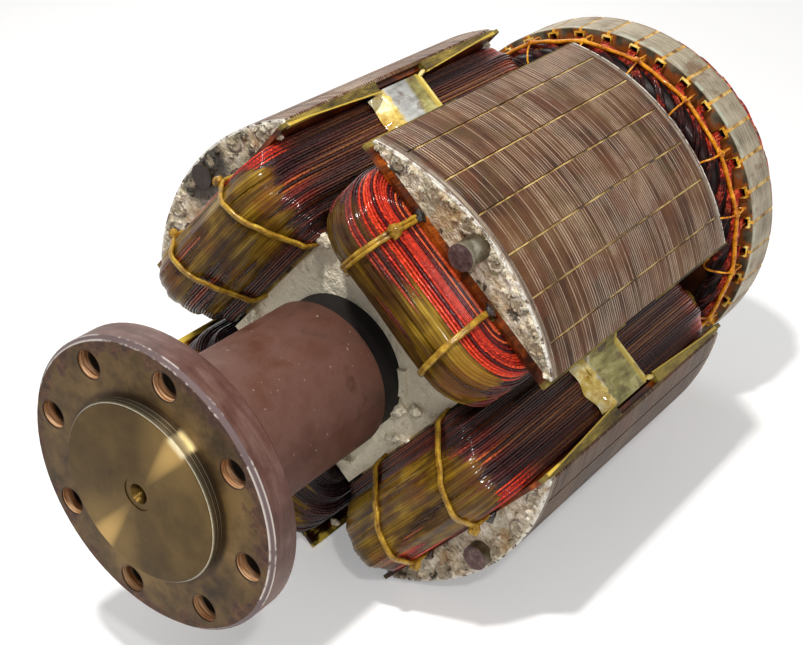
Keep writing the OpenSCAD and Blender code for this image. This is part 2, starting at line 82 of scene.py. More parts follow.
# ---------------------------------------------------------------------------
# Floor, world and lamps.
# A wide pale floor carries the rotor's shadow. A small strong lamp stands high in
# front like the sun, a second one glints on the end turns, and two soft ones fill.
# ---------------------------------------------------------------------------
class Signal:
    """A shader socket that can be used in sums: each operation adds one Math node."""

    def __init__(self, socket):
        self.socket = socket

    def math(self, operation, *values, clamp=False):
        node = self.socket.id_data.nodes.new("ShaderNodeMath")
        node.operation = operation
        node.use_clamp = clamp
        for entry, value in zip(node.inputs, (self, *values)):
            feed(entry, value)
        return Signal(node.outputs[0])

    def __add__(self, other):
        return self.math("ADD", other)

    def __sub__(self, other):
        return self.math("SUBTRACT", other)

    def __mul__(self, other):
        return self.math("MULTIPLY", other)

    def __truediv__(self, other):
        return self.math("DIVIDE", other)

    def __rsub__(self, other):
        return (self * -1.0) + other

    __radd__ = __add__
    __rmul__ = __mul__

    def smooth(self, low, high):
        """0 at low, 1 at high, eased in between."""
        span = (self - low) / (high - low)
        held = span.math("MAXIMUM", 0.0).math("MINIMUM", 1.0)
        return held * held * (3.0 - held * 2.0)

    def fall(self, low, high):
        """1 at low, 0 at high, eased in between."""
        return self.smooth(low, high).invert()

    def peak(self, place, width):
        """1 where the value is at place, down to 0 one width away."""
        return 1.0 - (self - place).math("ABSOLUTE").smooth(0.0, width)

    def invert(self):
        return 1.0 - self


def length(first, second):
    """The long side of a right-angled triangle."""
    return (first * first + second * second).math("SQRT")


def feed(entry, value):
    """Sets a socket from a link, a number or a colour."""
    if isinstance(value, Signal):
        entry.id_data.links.new(value.socket, entry)
    elif hasattr(value, "__len__") and len(value) == 3 and entry.type == "RGBA":
        entry.default_value = (*value, 1.0)
    else:
        entry.default_value = value


class Tree:
    """A node tree that is being put together."""

    def __init__(self, tree):
        self.tree = tree

    def node(self, kind, settings=None, sockets=None, output=0):
        """Adds one node: its settings first, then the values or links of its sockets."""
        node = self.tree.nodes.new(kind)
        for key, value in (settings or {}).items():
            if key == "stops":
                elements = node.color_ramp.elements
                elements[0].position = value[0][0]
                elements[1].position = value[-1][0]
                for place, _ in value[1:-1]:
                    elements.new(place)
                for element, (_, colour) in zip(elements, value):
                    element.color = (*colour, 1.0)
            else:
                setattr(node, key, value)
        for key, value in (sockets or {}).items():
            feed(node.inputs[key], value)
        return Signal(node.outputs[output])

    def split(self, spot):
        parts = self.node("ShaderNodeSeparateXYZ", sockets={0: spot}).socket.node
        return [Signal(parts.outputs[i]) * IN_MM for i in range(3)]

    def point(self, x, y, z):
        return self.node("ShaderNodeCombineXYZ", sockets={0: x, 1: y, 2: z})

    def seen(self):
        """1 for rays that show what they hit: straight, in a mirror or through glass."""
        path = self.node("ShaderNodeLightPath").socket.node
        total = Signal(path.outputs["Is Camera Ray"]) + Signal(path.outputs["Is Glossy Ray"])
        return (total + Signal(path.outputs["Is Transmission Ray"])).math("MINIMUM", 1.0)


class Finish(Tree):
    """A material that is being put together."""

    def __init__(self, name):
        self.material = bpy.data.materials.new(name)
        self.material.use_nodes = True
        super().__init__(self.material.node_tree)
        self.shader = self.tree.nodes["Principled BSDF"]

    def here(self):
        """Where the surface lies on the rotor, in metres."""
        return self.node("ShaderNodeTexCoord", output=3)

    def place(self):
        """The same in millimetres: each of the three, and the point they make."""
        parts = self.split(self.here())
        return (*parts, self.point(*parts))

    def noise(self, spot, scale, detail, roughness):
        return self.node("ShaderNodeTexNoise", sockets={
            "Vector": spot, "Scale": scale, "Detail": detail, "Roughness": roughness})

    def mix(self, share, first, second):
        """Blends two colours."""
        return self.node("ShaderNodeMix", {"data_type": "RGBA"},
                         {0: share, 6: first, 7: second}, output=2)

    def ramp(self, share, *stops):
        return self.node("ShaderNodeValToRGB", {"stops": stops}, {0: share})

    def bump(self, height, strength, depth):
        return self.node("ShaderNodeBump", sockets={
            "Height": height, "Strength": strength, "Distance": depth})

    def attribute(self, name, output):
        return self.node("ShaderNodeAttribute", {"attribute_name": name}, output=output)

    def set(self, colour, rough, normal=None, coat=None, **others):
        """Feeds the shader; coat is the varnish's weight, roughness and refraction."""
        values = {"Base_Color": colour, "Roughness": rough, **others}
        if normal:
            values["Normal"] = normal
        if coat:
            values.update(zip(("Coat_Weight", "Coat_Roughness", "Coat_IOR"), coat))
        for key, value in values.items():
            feed(self.shader.inputs[key.replace("_", " ")], value)
        return self.material


floor_finish = Finish("pale_floor")
across_floor, along_floor, _ = floor_finish.split(floor_finish.here())
from_middle = length(across_floor, along_floor)
glow = floor_finish.mix(from_middle.smooth(1300.0, 5000.0), (0.3, 0.3, 0.3), (0.9, 0.9, 0.9))
floor_finish.set((0.8, 0.8, 0.8), 0.9, Specular_IOR_Level=0.1, Emission_Color=glow,
                 Emission_Strength=floor_finish.seen())
floor_mesh = bpy.data.meshes.new("floor")
FLOOR_HALF = 8.0
ground = cad_box[0].z - 0.0002
floor_mesh.from_pydata([(FLOOR_HALF * i, FLOOR_HALF * j, ground)
                        for i, j in ((-1, -1), (1, -1), (1, 1), (-1, 1))], [], [(0, 1, 2, 3)])
floor_mesh.materials.append(floor_finish.material)
floor = bpy.data.objects.new("floor", floor_mesh)
bpy.context.scene.collection.objects.link(floor)

WORLD_LIGHT = 0.25
world = bpy.data.worlds.new("studio")
world.use_nodes = True
sky = Tree(world.node_tree)
backdrop = sky.tree.nodes["Background"]
backdrop.inputs["Color"].default_value = (1.0, 1.0, 1.0, 1.0)
feed(backdrop.inputs["Strength"], sky.seen() * (1.0 - WORLD_LIGHT) + WORLD_LIGHT)
bpy.context.scene.world = world


def lamp(name, place, aim, size, power, colour):
    data = bpy.data.lights.new(name, "AREA")
    data.shape = "DISK"
    data.size = size
    data.energy = power
    data.color = colour
    made = bpy.data.objects.new(name, data)
    made.location = place
    made.rotation_euler = (Vector(aim) - Vector(place)).to_track_quat("-Z", "Y").to_euler()
    bpy.context.scene.collection.objects.link(made)


middle = (0.0, 0.33, 0.0)
lamp("key_lamp", (0.18, -0.5, 2.2), middle, 0.17, 47.0, (1.0, 0.98, 0.94))
lamp("front_lamp", (1.0, -0.6, 1.1), middle, 0.1, 7.5, (1.0, 0.99, 0.97))
lamp("fill_lamp", (1.8, -0.2, 0.7), middle, 1.2, 4.5, (0.95, 0.97, 1.0))
lamp("back_lamp", (-1.3, 1.5, 1.3), middle, 1.2, 12.0, (1.0, 0.99, 0.97))

# ---------------------------------------------------------------------------
# Shaft and coupling flange.
# One steel forging. The shaft and the flange's rim carry red-brown primer; the
# mating face, spigot and bolt bores are turned bright and stained by old oil.
# ---------------------------------------------------------------------------
SPIGOT_R = 70.0
FLANGE_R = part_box("shaft")[1].x * IN_MM
FLANGE_T = 27.0
BOLT_CIRCLE_R = 95.0
BOLT_TURN = 18.4
BOLTS = 8
BOLT_STEP = 360.0 / BOLTS
BORE_R = 11.0
NECK_START = 193.0
REAR_START = 500.0


def dress(name, material):
    """Gives a CAD node its finish."""
    mesh = nodes[name].data
    mesh.materials.clear()
    mesh.materials.append(material)


def hole_distance(x, z, radius):
    """Distance from the middle of the nearest bolt bore."""
    angle = x.math("ARCTAN2", z) * (180.0 / math.pi)
    # two whole turns more keep the count of steps above nought
    nearest = ((angle - BOLT_TURN) / BOLT_STEP + (2 * BOLTS + 0.5)).math("FRACT") - 0.5
    turn = nearest * math.radians(BOLT_STEP)
    across = radius * turn.math("SINE")
    along = radius * turn.math("COSINE") - BOLT_CIRCLE_R
    return length(across, along)


def primer_tone(f, x, y, z, spot, cloud, blotch, fine, rim):
    """Primer, clouded with grime and darker towards the hub, with painted shade below; greyer and
    rusty on the rim.
    """
    primer = f.ramp(cloud * 0.55 + blotch * 0.4 + fine * 0.05,
                    (0.34, (0.06, 0.022, 0.014)), (0.45, (0.1, 0.041, 0.028)),
                    (0.55, (0.128, 0.06, 0.045)), (0.66, (0.092, 0.034, 0.019)))
    grime = (blotch + (y - 150.0) * 0.0035).smooth(0.52, 0.78)
    primer = f.mix(grime * 0.6, primer, (0.036, 0.017, 0.011))
    # painted shade: the shaft's underside is painted darker
    primer = f.mix(z.smooth(-5.0, -60.0) * 0.55, primer, (0.046, 0.016, 0.007))
    speck = f.noise(spot, 0.22, 1.0, 0.5).smooth(0.735, 0.76)
    primer = f.mix(speck * 0.5, primer, (0.36, 0.31, 0.23))
    rub = f.noise(f.point(x * 0.3, y * 1.6, z * 0.3), 0.12, 3.0, 0.6)
    rim_tone = f.ramp(rub * 0.5 + blotch * 0.5, (0.38, (0.054, 0.019, 0.012)),
                      (0.5, (0.094, 0.039, 0.029)), (0.62, (0.145, 0.078, 0.064)))
    primer = f.mix(rim * 0.85, primer, rim_tone)
    low_rust = (z * 0.8 - x * 0.6 + cloud * 160.0 - 80.0).smooth(-60.0, -110.0)
    return f.mix(low_rust * rim * 0.6, primer, (0.12, 0.042, 0.018))


def turned_tone(f, x, y, z, spot, radius, hole, spigot):
    """The mating face's colour, oily and rusty towards its edge, with painted sheen and highlight,
    and how rusty it is.
    """
    patch = f.noise(spot, 0.02, 4.0, 0.55)
    stain = f.noise(f.point(x, y, z + 40.0), 0.045, 5.0, 0.65)
    olive = f.ramp(patch * 0.55 + stain * 0.45,
                   (0.37, (0.03, 0.018, 0.008)), (0.47, (0.078, 0.045, 0.016)),
                   (0.6, (0.158, 0.096, 0.034)))
    # painted sheen: the turned face is painted brighter along one line through its middle
    swept = ((x * 0.643 + z * 0.766) / (radius + 0.05)).math("ABSOLUTE")
    swept = swept.smooth(0.8, 1.0) * 0.2 + swept.smooth(0.982, 1.0) * 0.8
    bright = f.ramp(patch * 0.7 + stain * 0.3,
                    (0.36, (0.044, 0.024, 0.005)), (0.5, (0.07, 0.04, 0.009)),
                    (0.62, (0.102, 0.061, 0.015)))
    bright = f.mix(swept * radius.smooth(6.0, 60.0) * 0.75, bright, (0.52, 0.33, 0.105))
    rust = f.ramp(f.noise(spot, 0.11, 4.0, 0.7), (0.38, (0.034, 0.015, 0.013)),
                  (0.52, (0.078, 0.034, 0.022)), (0.64, (0.135, 0.06, 0.028)))
    rusty = (stain + (radius - 99.0) * 0.01).smooth(0.5, 0.6)
    olive = f.mix(rusty * 0.85, olive, rust)
    olive = f.mix(hole.peak(BORE_R, 1.4) * 0.8, olive, (0.03, 0.014, 0.008))
    groove = radius.peak(SPIGOT_R + 2.0, 4.5) * (y + 0.4).smooth(-0.2, 0.0)
    olive = f.mix(groove * 0.75, olive, (0.03, 0.016, 0.009))
    turned = f.mix(spigot, olive, bright)
    side = (radius - SPIGOT_R + 1.2).smooth(0.0, 0.6) * (y + 0.3).fall(-0.3, 0.0)
    steps = f.noise(f.point(0.0, y * 0.8, 0.0), 1.0, 1.0, 0.5)
    stepped = f.ramp(steps, (0.38, (0.055, 0.04, 0.02)), (0.5, (0.19, 0.16, 0.1)),
                     (0.6, (0.56, 0.52, 0.42)))
    turned = f.mix(side * spigot, turned, stepped)
    # painted highlight: a bright flare on the spigot's rim along the sheen line
    painted_flare = swept.smooth(0.45, 1.0) * (x + z).smooth(0.0, 20.0) * radius.peak(SPIGOT_R, 7.0)
    return f.mix(painted_flare * 0.7, turned, (0.98, 0.86, 0.56)), rusty


def shaft_finish():
    f = Finish("primed_and_turned_steel")
    x, y, z, spot = f.place()
    radius = length(x, z)
    hole = hole_distance(x, z, radius)
    cloud = f.noise(spot, 0.013, 3.0, 0.55)
    blotch = f.noise(spot, 0.04, 4.0, 0.62)
    fine = f.noise(spot, 0.55, 2.0, 0.6)
    rim = (radius - FLANGE_R + 0.4).smooth(-0.3, 0.0)
    face = (y - 0.6).fall(0.0, 0.3)
    spigot = (radius - SPIGOT_R - 0.3).fall(-0.4, 0.0) * face
    primer = primer_tone(f, x, y, z, spot, cloud, blotch, fine, rim)
    turned, rusty = turned_tone(f, x, y, z, spot, radius, hole, spigot)
    # coppery bolt bores, painted dark further in as shade
    inside = hole.fall(BORE_R + 0.3, BORE_R + 0.8)
    bore = inside * (y - 0.8).smooth(0.0, 0.5) * (y - FLANGE_T + 0.3).fall(-0.3, 0.0)
    copper = f.ramp(f.noise(f.point(x * 0.3, y * 5.0, z * 0.3), 0.12, 3.0, 0.6),
                    (0.36, (0.34, 0.14, 0.05)), (0.5, (0.64, 0.33, 0.15)),
                    (0.62, (0.9, 0.64, 0.4)))
    # painted shade deep inside the bores
    deep = (y - 6.5).smooth(0.0, 4.5)
    copper = f.mix(deep * 0.98, copper, (0.004, 0.003, 0.002))
    # bevel round the mating face, with its two edges chipped bare
    bevel = (y - 3.2).fall(0.0, 0.4) * (radius - FLANGE_R + 3.0).smooth(0.0, 0.2)
    chipped = f.noise(spot, 0.16, 3.0, 0.65) * 0.35 + f.noise(spot, 0.016, 1.0, 0.5) * 0.65
    edges = radius.peak(FLANGE_R - 2.9, 1.0).math("MAXIMUM", y.peak(3.2, 1.0) * rim)
    bare = edges * (y - 6.0).fall(0.0, 1.0) * chipped.smooth(0.46, 0.54)
    rear = (y - REAR_START).smooth(0.0, 2.0)
    # the neck is painted near black: partly a dark finish, partly painted shade
    neck = (y - NECK_START + 0.4).smooth(0.0, 0.6) * rear.invert()
    steel = f.ramp(f.noise(f.point(x, y * 6.0, z), 0.05, 3.0, 0.6),
                   (0.3, (0.1, 0.085, 0.07)), (0.7, (0.24, 0.22, 0.19)))

    colour = f.mix(face, primer, turned)
    colour = f.mix(bore, colour, copper)
    colour = f.mix(bevel * 0.85, colour, (0.15, 0.112, 0.112))
    colour = f.mix(bare, colour, (0.56, 0.5, 0.46))
    colour = f.mix(neck, colour, (0.008, 0.006, 0.006))
    colour = f.mix(rear, colour, steel)
    metal = face * (0.86 + spigot * 0.1 - rusty * 0.4 * spigot.invert())
    metal = metal.math("MAXIMUM", bore * (0.5 - deep * 0.5))
    metal = metal.math("MAXIMUM", bevel * 0.5).math("MAXIMUM", bare * 0.8)
    metal = metal.math("MAXIMUM", rear * 0.9) * neck.invert()
    rough = 0.5 + (fine - 0.5) * 0.16 - rim * 0.06 - face * 0.12 - spigot * 0.06
    rough = rough - bore * (0.12 - deep * 0.4) - bare * 0.15 + rusty * face * 0.16 + neck * 0.2
    turning = f.noise(f.point(radius, 0.0, 0.0), 0.75, 3.0, 0.7) * face * 1.4
    ridges = f.noise(f.point(0.0, y, 0.0), 0.8, 1.0, 0.5) * (bore * 0.7 + rear)
    grain = (blotch * 0.7 + fine * 0.15) * (1.0 - face * 0.85)
    normal = f.bump(turning * 0.35 + ridges * 0.6 + grain, 0.45, 0.0007)
    return f.set(colour, rough, normal, Metallic=metal, Specular_IOR_Level=0.22)


dress("shaft", shaft_finish())

# ---------------------------------------------------------------------------
# Laminated core.
# Thin punched steel sheets, pressed on the shaft in groups and oiled brown.
# Their edges show as fine lines across each pole face, worn bright in places.
# ---------------------------------------------------------------------------
BAR_PITCH = math.radians(10.1)


def extent(name):
    """Where a CAD node starts and ends along the shaft, in millimetres."""
    return [corner.y * IN_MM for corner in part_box(name)]


STACK_START, STACK_END = extent("core_laminations")


def pole_lean(x, z):
    """Angle from the middle of the nearest pole."""
    return x.math("ABSOLUTE").math("ARCTAN2", z.math("ABSOLUTE")) - math.pi / 4


def lamination_finish():
    f = Finish("oiled_laminations")
    x, y, z, spot = f.place()
    # the sheets are pressed in packs, and each pack's edge shows as one worn line
    strip = (pole_lean(x, z) / BAR_PITCH + 0.5).math("FLOOR")
    wander = f.noise(f.point(0.0, y * 0.06, 0.0), 1.0, 1.0, 0.5)
    place = y / 2.7 + wander * 2.2
    number = place.math("FLOOR")
    line = (place.math("FRACT") - 0.5).math("ABSOLUTE").fall(0.08, 0.21)
    sheet = ((y / 1.8 + wander * 4.0).math("FRACT") - 0.5).math("ABSOLUTE")
    thin = sheet.fall(0.1, 0.3)
    strength = f.noise(f.point(x * 0.005 + strip * 0.1, number * 1.7, z * 0.005), 1.0, 0.0, 0.5)
    broad = f.noise(f.point(x * 0.005 + strip * 0.13, y / 9.0, z * 0.005), 1.0, 2.0, 0.5)
    single = f.noise(f.point(x * 0.006, y / 0.7 + 77.0, z * 0.006), 1.0, 1.0, 0.5)
    wear = f.noise(spot, 0.01, 3.0, 0.55)
    shown = (strength + (wear - 0.5) * 1.1 + (broad - 0.5) * 0.1).smooth(0.2, 0.64)
    fine_shown = (broad + (wear - 0.5) * 1.2).smooth(0.46, 0.6)
    brown = f.ramp(f.noise(spot, 0.022, 4.0, 0.6) * 0.76 + strength * 0.14 + broad * 0.1,
                   (0.38, (0.044, 0.017, 0.007)), (0.48, (0.096, 0.038, 0.015)),
                   (0.56, (0.132, 0.058, 0.023)), (0.64, (0.18, 0.1, 0.046)))
    light = line * shown * 0.85 + thin * fine_shown * 0.45 + (single - 0.5) * 0.5
    # painted shade: lower poles are darker with fainter lines; far left is greyer, its lines
    # fainter
    painted_top_light = z.smooth(-70.0, 30.0)
    left = x.smooth(-70.0, -120.0)
    light = light.smooth(0.14, 0.95) * (0.25 + painted_top_light * 0.75) * (1.0 - left * 0.6)
    colour = f.mix(painted_top_light.invert() * 0.6, brown, (0.036, 0.021, 0.012))
    colour = f.mix(left * 0.6, colour, (0.06, 0.044, 0.038))
    colour = f.mix(light * 0.75, colour, (0.6, 0.465, 0.345))
    dark = (single + shown * 0.08).fall(0.36, 0.43)
    colour = f.mix(dark * 0.75, colour, (0.022, 0.01, 0.006))
    oil = f.noise(f.point(x, y, z + 120.0), 0.03, 4.0, 0.65).smooth(0.52, 0.64)
    colour = f.mix(oil * 0.45, colour, (0.088, 0.054, 0.016))
    rust = f.noise(f.point(x + 60.0, y, z), 0.04, 4.0, 0.65).smooth(0.54, 0.64)
    colour = f.mix(rust * 0.45, colour, (0.125, 0.036, 0.014))
    rough = 0.44 - light * 0.12 + (wear - 0.5) * 0.2
    normal = f.bump(line * shown * 0.4 + thin * 0.2 + single * 0.8, 0.75, 0.0008)
    return f.set(colour, rough, normal, Metallic=0.15 + light * 0.45, Specular_IOR_Level=0.12)


dress("core_laminations", lamination_finish())

# ---------------------------------------------------------------------------
# End plates, damper bars and key.
# Pale brazed plates close both ends of the stack. Six round copper bars run
# through every pole and are brazed to the plates in rough, lumpy collars.
# ---------------------------------------------------------------------------
PLATES_START = extent("drive_end_plate")[0]
PLATES_END = extent("rear_end_plate")[1]
BAR_R = 192.0
PLATE_R = 200.0


def dress_each(stem, material):
    """Gives the four CAD nodes of one kind, one at each pole, their finish."""
    for number in range(1, 5):
        dress(f"{stem}_{number}", material)


def ringed(f, colour, x, y, z, radius, patch, crust):
    """Adds the bars' ends, and dark rings of painted shade round their braze collars."""
    lean = pole_lean(x, z)
    nearest = (lean / BAR_PITCH).math("FLOOR") + 0.5
    nearest = nearest.math("MAXIMUM", -2.5).math("MINIMUM", 2.5)
    turn = lean - nearest * BAR_PITCH
    past = radius * turn.math("COSINE") - BAR_R
    off = radius * turn.math("SINE")
    ring = length(past, off) + (patch - 0.5) * 16.0 + (crust - 0.5) * 5.0
    clear = f.noise(f.point(x, y, z + 140.0), 0.03, 1.0, 0.5).smooth(0.42, 0.56) * 0.7 + 0.3
    # painted shade: a dark ring round each braze collar
    colour = f.mix(ring.peak(7.6, 2.0) * clear * 0.75, colour, (0.06, 0.042, 0.022))
    return f.mix(ring.fall(4.5, 6.5) * clear * 0.55, colour, (0.3, 0.275, 0.19))


def plate_finish():
    f = Finish("brazed_plate")
    x, y, z, spot = f.place()
    radius = length(x, z)
    patch = f.noise(spot, 0.04, 5.0, 0.68)
    crust = f.noise(f.point(x, y, z + 33.0), 0.13, 4.0, 0.7)
    grit = f.noise(spot, 0.5, 3.0, 0.7)
    scratch = f.noise(f.point((x + z) * 1.6, y, (x - z) * 0.06), 0.3, 2.0, 0.6)
    # the hub part is painted paler, with less soot: partly a cleaner plate, partly painted light
    hub = (radius - 128.0).fall(0.0, 10.0)
    tone = patch * 0.38 + crust * 0.3 + grit * 0.16 + scratch * 0.16 + hub * 0.075
    cream = f.ramp(tone, (0.34, (0.07, 0.042, 0.02)), (0.41, (0.27, 0.19, 0.105)),
                   (0.48, (0.61, 0.51, 0.36)), (0.56, (0.87, 0.8, 0.67)))
    cream_hub = (patch * 0.5 + scratch * 0.5).smooth(0.32, 0.46)
    tarnish = f.noise(f.point(x + 70.0, y, z), 0.03, 4.0, 0.6).smooth(0.54, 0.64)
    colour = f.mix(tarnish * 0.5, cream, (0.215, 0.19, 0.11))
    amber = f.noise(f.point(x, y, z + 91.0), 0.04, 3.0, 0.6).smooth(0.56, 0.64)
    colour = f.mix(amber * 0.5, colour, (0.36, 0.18, 0.045))
    moss = f.noise(f.point(x, y + 20.0, z + 15.0), 0.07, 3.0, 0.6).smooth(0.64, 0.7)
    colour = f.mix(moss * 0.5, colour, (0.3, 0.31, 0.04))
    soot = (f.noise(f.point(x, y, z + 12.0), 0.055, 5.0, 0.72) + hub * 0.04).smooth(0.36, 0.41)
    colour = f.mix(soot.invert() * 0.9, colour, (0.024, 0.015, 0.009))
    colour = f.mix(hub * cream_hub * 0.9, colour, (0.96, 0.86, 0.66))
    colour = ringed(f, colour, x, y, z, radius, patch, crust)
    # the place round the fourth pole's sawn-off bolt is painted near black
    low_corner, high_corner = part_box("pole_bolt_4")
    stub = (low_corner + high_corner) / 2.0 * IN_MM
    away = length(x - stub.x, z - stub.z)
    stub_darkening = (away + patch * 50.0 - 25.0).fall(20.0, 36.0)
    stub_darkening = stub_darkening * (y - PLATES_START).fall(4.0, 9.0)
    colour = f.mix(stub_darkening * 0.92, colour, (0.045, 0.04, 0.034))
    # the plates' rim is ground with the stack and as brown as it is
    rim = (radius - PLATE_R + 1.2).smooth(-0.8, 0.0)
    ground = f.ramp(f.noise(f.point(x * 0.02, y * 0.9, z * 0.02), 1.0, 2.0, 0.6),
                    (0.4, (0.07, 0.038, 0.023)), (0.5, (0.15, 0.09, 0.058)),
                    (0.6, (0.36, 0.28, 0.21)))
    colour = f.mix(rim * 0.9, colour, ground)
    # the plates' outer edges are painted pale: partly a worn edge, partly painted highlight
    lip = y.peak(PLATES_START, 2.2).math("MAXIMUM", y.peak(PLATES_END, 2.2))
    lip = lip * (radius - PLATE_R + 2.5).smooth(0.0, 1.0) * crust.smooth(0.4, 0.5)
    colour = f.mix(lip, colour, (0.86, 0.82, 0.74))
    dent = f.noise(f.point(x + 9.0, y, z), 0.08, 3.0, 0.6)
    height = patch * 0.4 + dent * 0.9 + crust * 1.0 + grit * 0.2 + scratch * 0.18
    normal = f.bump(height, 0.9, 0.0042)
    return f.set(colour, 0.46 + grit * 0.22, normal, Metallic=0.12, Specular_IOR_Level=0.35)


plate_material = plate_finish()
dress("drive_end_plate", plate_material)
dress("rear_end_plate", plate_material)


def bar_finish():
    f = Finish("brazed_bar")
    _, y, _, spot = f.place()
    grit = f.noise(spot, 0.5, 3.0, 0.65)
    inside = (y - PLATES_START).smooth(-0.2, 0.4) * (y - PLATES_END).fall(-0.4, 0.2)
    end_tone = f.ramp(grit, (0.3, (0.14, 0.1, 0.06)), (0.7, (0.46, 0.38, 0.26)))
    gold = f.ramp(f.noise(spot, 0.05, 3.0, 0.6),
                  (0.3, (0.24, 0.13, 0.03)), (0.7, (0.56, 0.36, 0.1)))
    return f.set(f.mix(inside, end_tone, gold), 0.42 + grit * 0.2, f.bump(grit, 0.5, 0.0008),
                 Metallic=0.3)


dress_each("damper_bars", bar_finish())
dress("core_key", plate_material)

# ---------------------------------------------------------------------------
# Pole bolts.
# One steel bolt clamps the laminations of each pole and stands out of both end
# plates. Its cut ends are dark, its flanks are scraped bright and oily.
# ---------------------------------------------------------------------------
def bolt_finish(name):
    f = Finish(name + "_steel")
    _, y, _, spot = f.place()
    front, back = extent(name)
    cut = (y - front).fall(0.0, 0.25).math("MAXIMUM", (y - back).smooth(-0.25, 0.0))
    patch = f.noise(spot, 0.1, 4.0, 0.65)
    flank = f.ramp(patch, (0.34, (0.06, 0.045, 0.024)), (0.48, (0.19, 0.165, 0.11)),
                   (0.64, (0.4, 0.37, 0.29)))
    foot = (y - PLATES_START + 9.0 + patch * 8.0).smooth(0.0, 6.0)
    flank = f.mix(foot * 0.7, flank, (0.07, 0.042, 0.018))
    face = f.ramp(f.noise(spot, 0.22, 4.0, 0.6), (0.35, (0.05, 0.024, 0.022)),
                  (0.54, (0.11, 0.06, 0.056)), (0.68, (0.19, 0.13, 0.12)))
    if name == "pole_bolt_4":
        face = f.mix(0.85, face, (0.024, 0.019, 0.015))
    # the rear ends are painted near black: partly dark varnish, partly painted shade
    rear = (y - PLATES_END).smooth(-0.5, 0.5)
    colour = f.mix(rear * 0.85, f.mix(cut, flank, face), (0.02, 0.012, 0.009))
    turned = f.noise(f.point(0.0, y * 2.2, 0.0), 1.0, 2.0, 0.6)
    normal = f.bump(turned * 0.5 + patch * 0.6, 0.4, 0.0008)
    return f.set(colour, 0.3 + cut * 0.18 + patch * 0.12, normal,
                 Metallic=0.8 - cut * 0.35 - rear * 0.4)


for number in range(1, 5):
    dress(f"pole_bolt_{number}", bolt_finish(f"pole_bolt_{number}"))

# ---------------------------------------------------------------------------
# Pole wraps and coil collars.
# Amber pressboard lies round each pole's body and under its shoe, varnished
# together with the coil. The collar's edge shows orange beside the end plate.
# ---------------------------------------------------------------------------
def board_finish(name, dark, mid, light, coat=0.5):
    f = Finish(name)
    x, y, z, spot = f.place()
    cloud = f.noise(spot, 0.035, 4.0, 0.6)
    fibre = f.noise(f.point(x, y * 0.2, z), 0.9, 3.0, 0.6)
    colour = f.ramp(cloud * 0.8 + fibre * 0.2, (0.36, dark), (0.5, mid), (0.64, light))
    soot = f.noise(f.point(x, y, z + 57.0), 0.06, 4.0, 0.7).smooth(0.54, 0.66)
    colour = f.mix(soot * 0.85, colour, (0.014, 0.008, 0.005))
    return f.set(colour, 0.32 + fibre * 0.15, f.bump(cloud + fibre * 0.3, 0.5, 0.0012),
                 coat=(coat, 0.12, 1.35), Specular_IOR_Level=0.15)


DIAGONAL = 0.7071
SHOE_HALF = 107.5
COLLAR_LOW = 155.7
LIP_END = 110.0
LIP_FLAT = 32.0
LIP_SLOPE = 0.0688


def collar_finish():
    """Amber board; its lips over the coil's sides are olive with a bright, yellow free edge."""
    f = Finish("varnished_collar")
    x, y, z = f.split(f.here())
    spot = f.point(x, y * 0.4, z)
    across = ((x.math("ABSOLUTE") - z.math("ABSOLUTE")) * DIAGONAL).math("ABSOLUTE")
    up = (x.math("ABSOLUTE") + z.math("ABSOLUTE")) * DIAGONAL
    cloud = f.noise(spot, 0.05, 4.0, 0.62)
    fibre = f.noise(f.point(x, y * 0.15, z), 0.7, 3.0, 0.6)
    tone = cloud * 0.75 + fibre * 0.25
    strip = f.ramp(tone, (0.38, (0.018, 0.004, 0.002)), (0.48, (0.08, 0.015, 0.003)),
                   (0.56, (0.2, 0.036, 0.003)), (0.66, (0.4, 0.095, 0.009)))
    lip_tone = f.ramp(tone, (0.38, (0.04, 0.026, 0.005)), (0.5, (0.145, 0.1, 0.016)),
                      (0.62, (0.33, 0.24, 0.042)))
    lip = across.smooth(SHOE_HALF - 4.0, SHOE_HALF - 2.0)
    colour = f.mix(lip, strip, lip_tone)
    soot = f.noise(f.point(x, y * 0.3, z + 57.0), 0.055, 4.0, 0.7).smooth(0.54, 0.66)
    colour = f.mix(soot * 0.75, colour, (0.016, 0.008, 0.004))
    # the lip's free edge slopes down from its tips to the supports
    past = (y - (PLATES_START + PLATES_END) / 2).math("ABSOLUTE") - LIP_FLAT
    low = past.math("MAXIMUM", 0.0) * LIP_SLOPE + COLLAR_LOW
    beside = (past - LIP_END).fall(-2.0, 0.0)
    edge = (up - low).fall(0.4, 1.6) * lip * beside
    colour = f.mix(edge * cloud.smooth(0.34, 0.42) * 0.9, colour, (0.72, 0.5, 0.07))
    # clean yellow varnish is left on the lowest pole's front corner
    third = ((x + z) * -DIAGONAL).smooth(120.0, 135.0) * (y - PLATES_START).fall(2.0, 12.0)
    colour = f.mix(third * tone.smooth(0.4, 0.48) * 0.9, colour, (0.84, 0.6, 0.09))
    return f.set(colour, 0.28 + fibre * 0.15, f.bump(cloud + fibre * 0.4, 0.5, 0.0012),
                 coat=(0.45, 0.1, 1.35), Specular_IOR_Level=0.08)


wrap_material = board_finish("varnished_pressboard", (0.1, 0.045, 0.01), (0.3, 0.17, 0.035),
                             (0.5, 0.34, 0.09))
dress_each("pole_wrap", wrap_material)
dress_each("coil_collar", collar_finish())

# ---------------------------------------------------------------------------
# Field coils.
# Round enamelled copper wire, wound turn by turn round each pole in stepped
# bands, then soaked in amber resin that lies thickest over the outer end turns.
# ---------------------------------------------------------------------------
POLE_TURNS = [math.radians(a) for a in (45, 135, 225, 315)]


def poles():
    """Each pole's number, its angle from +Z and the turn that puts a piece on it."""
    for number, angle in enumerate(POLE_TURNS, start=1):
        yield number, angle, Matrix.Rotation(angle, 4, "Y")


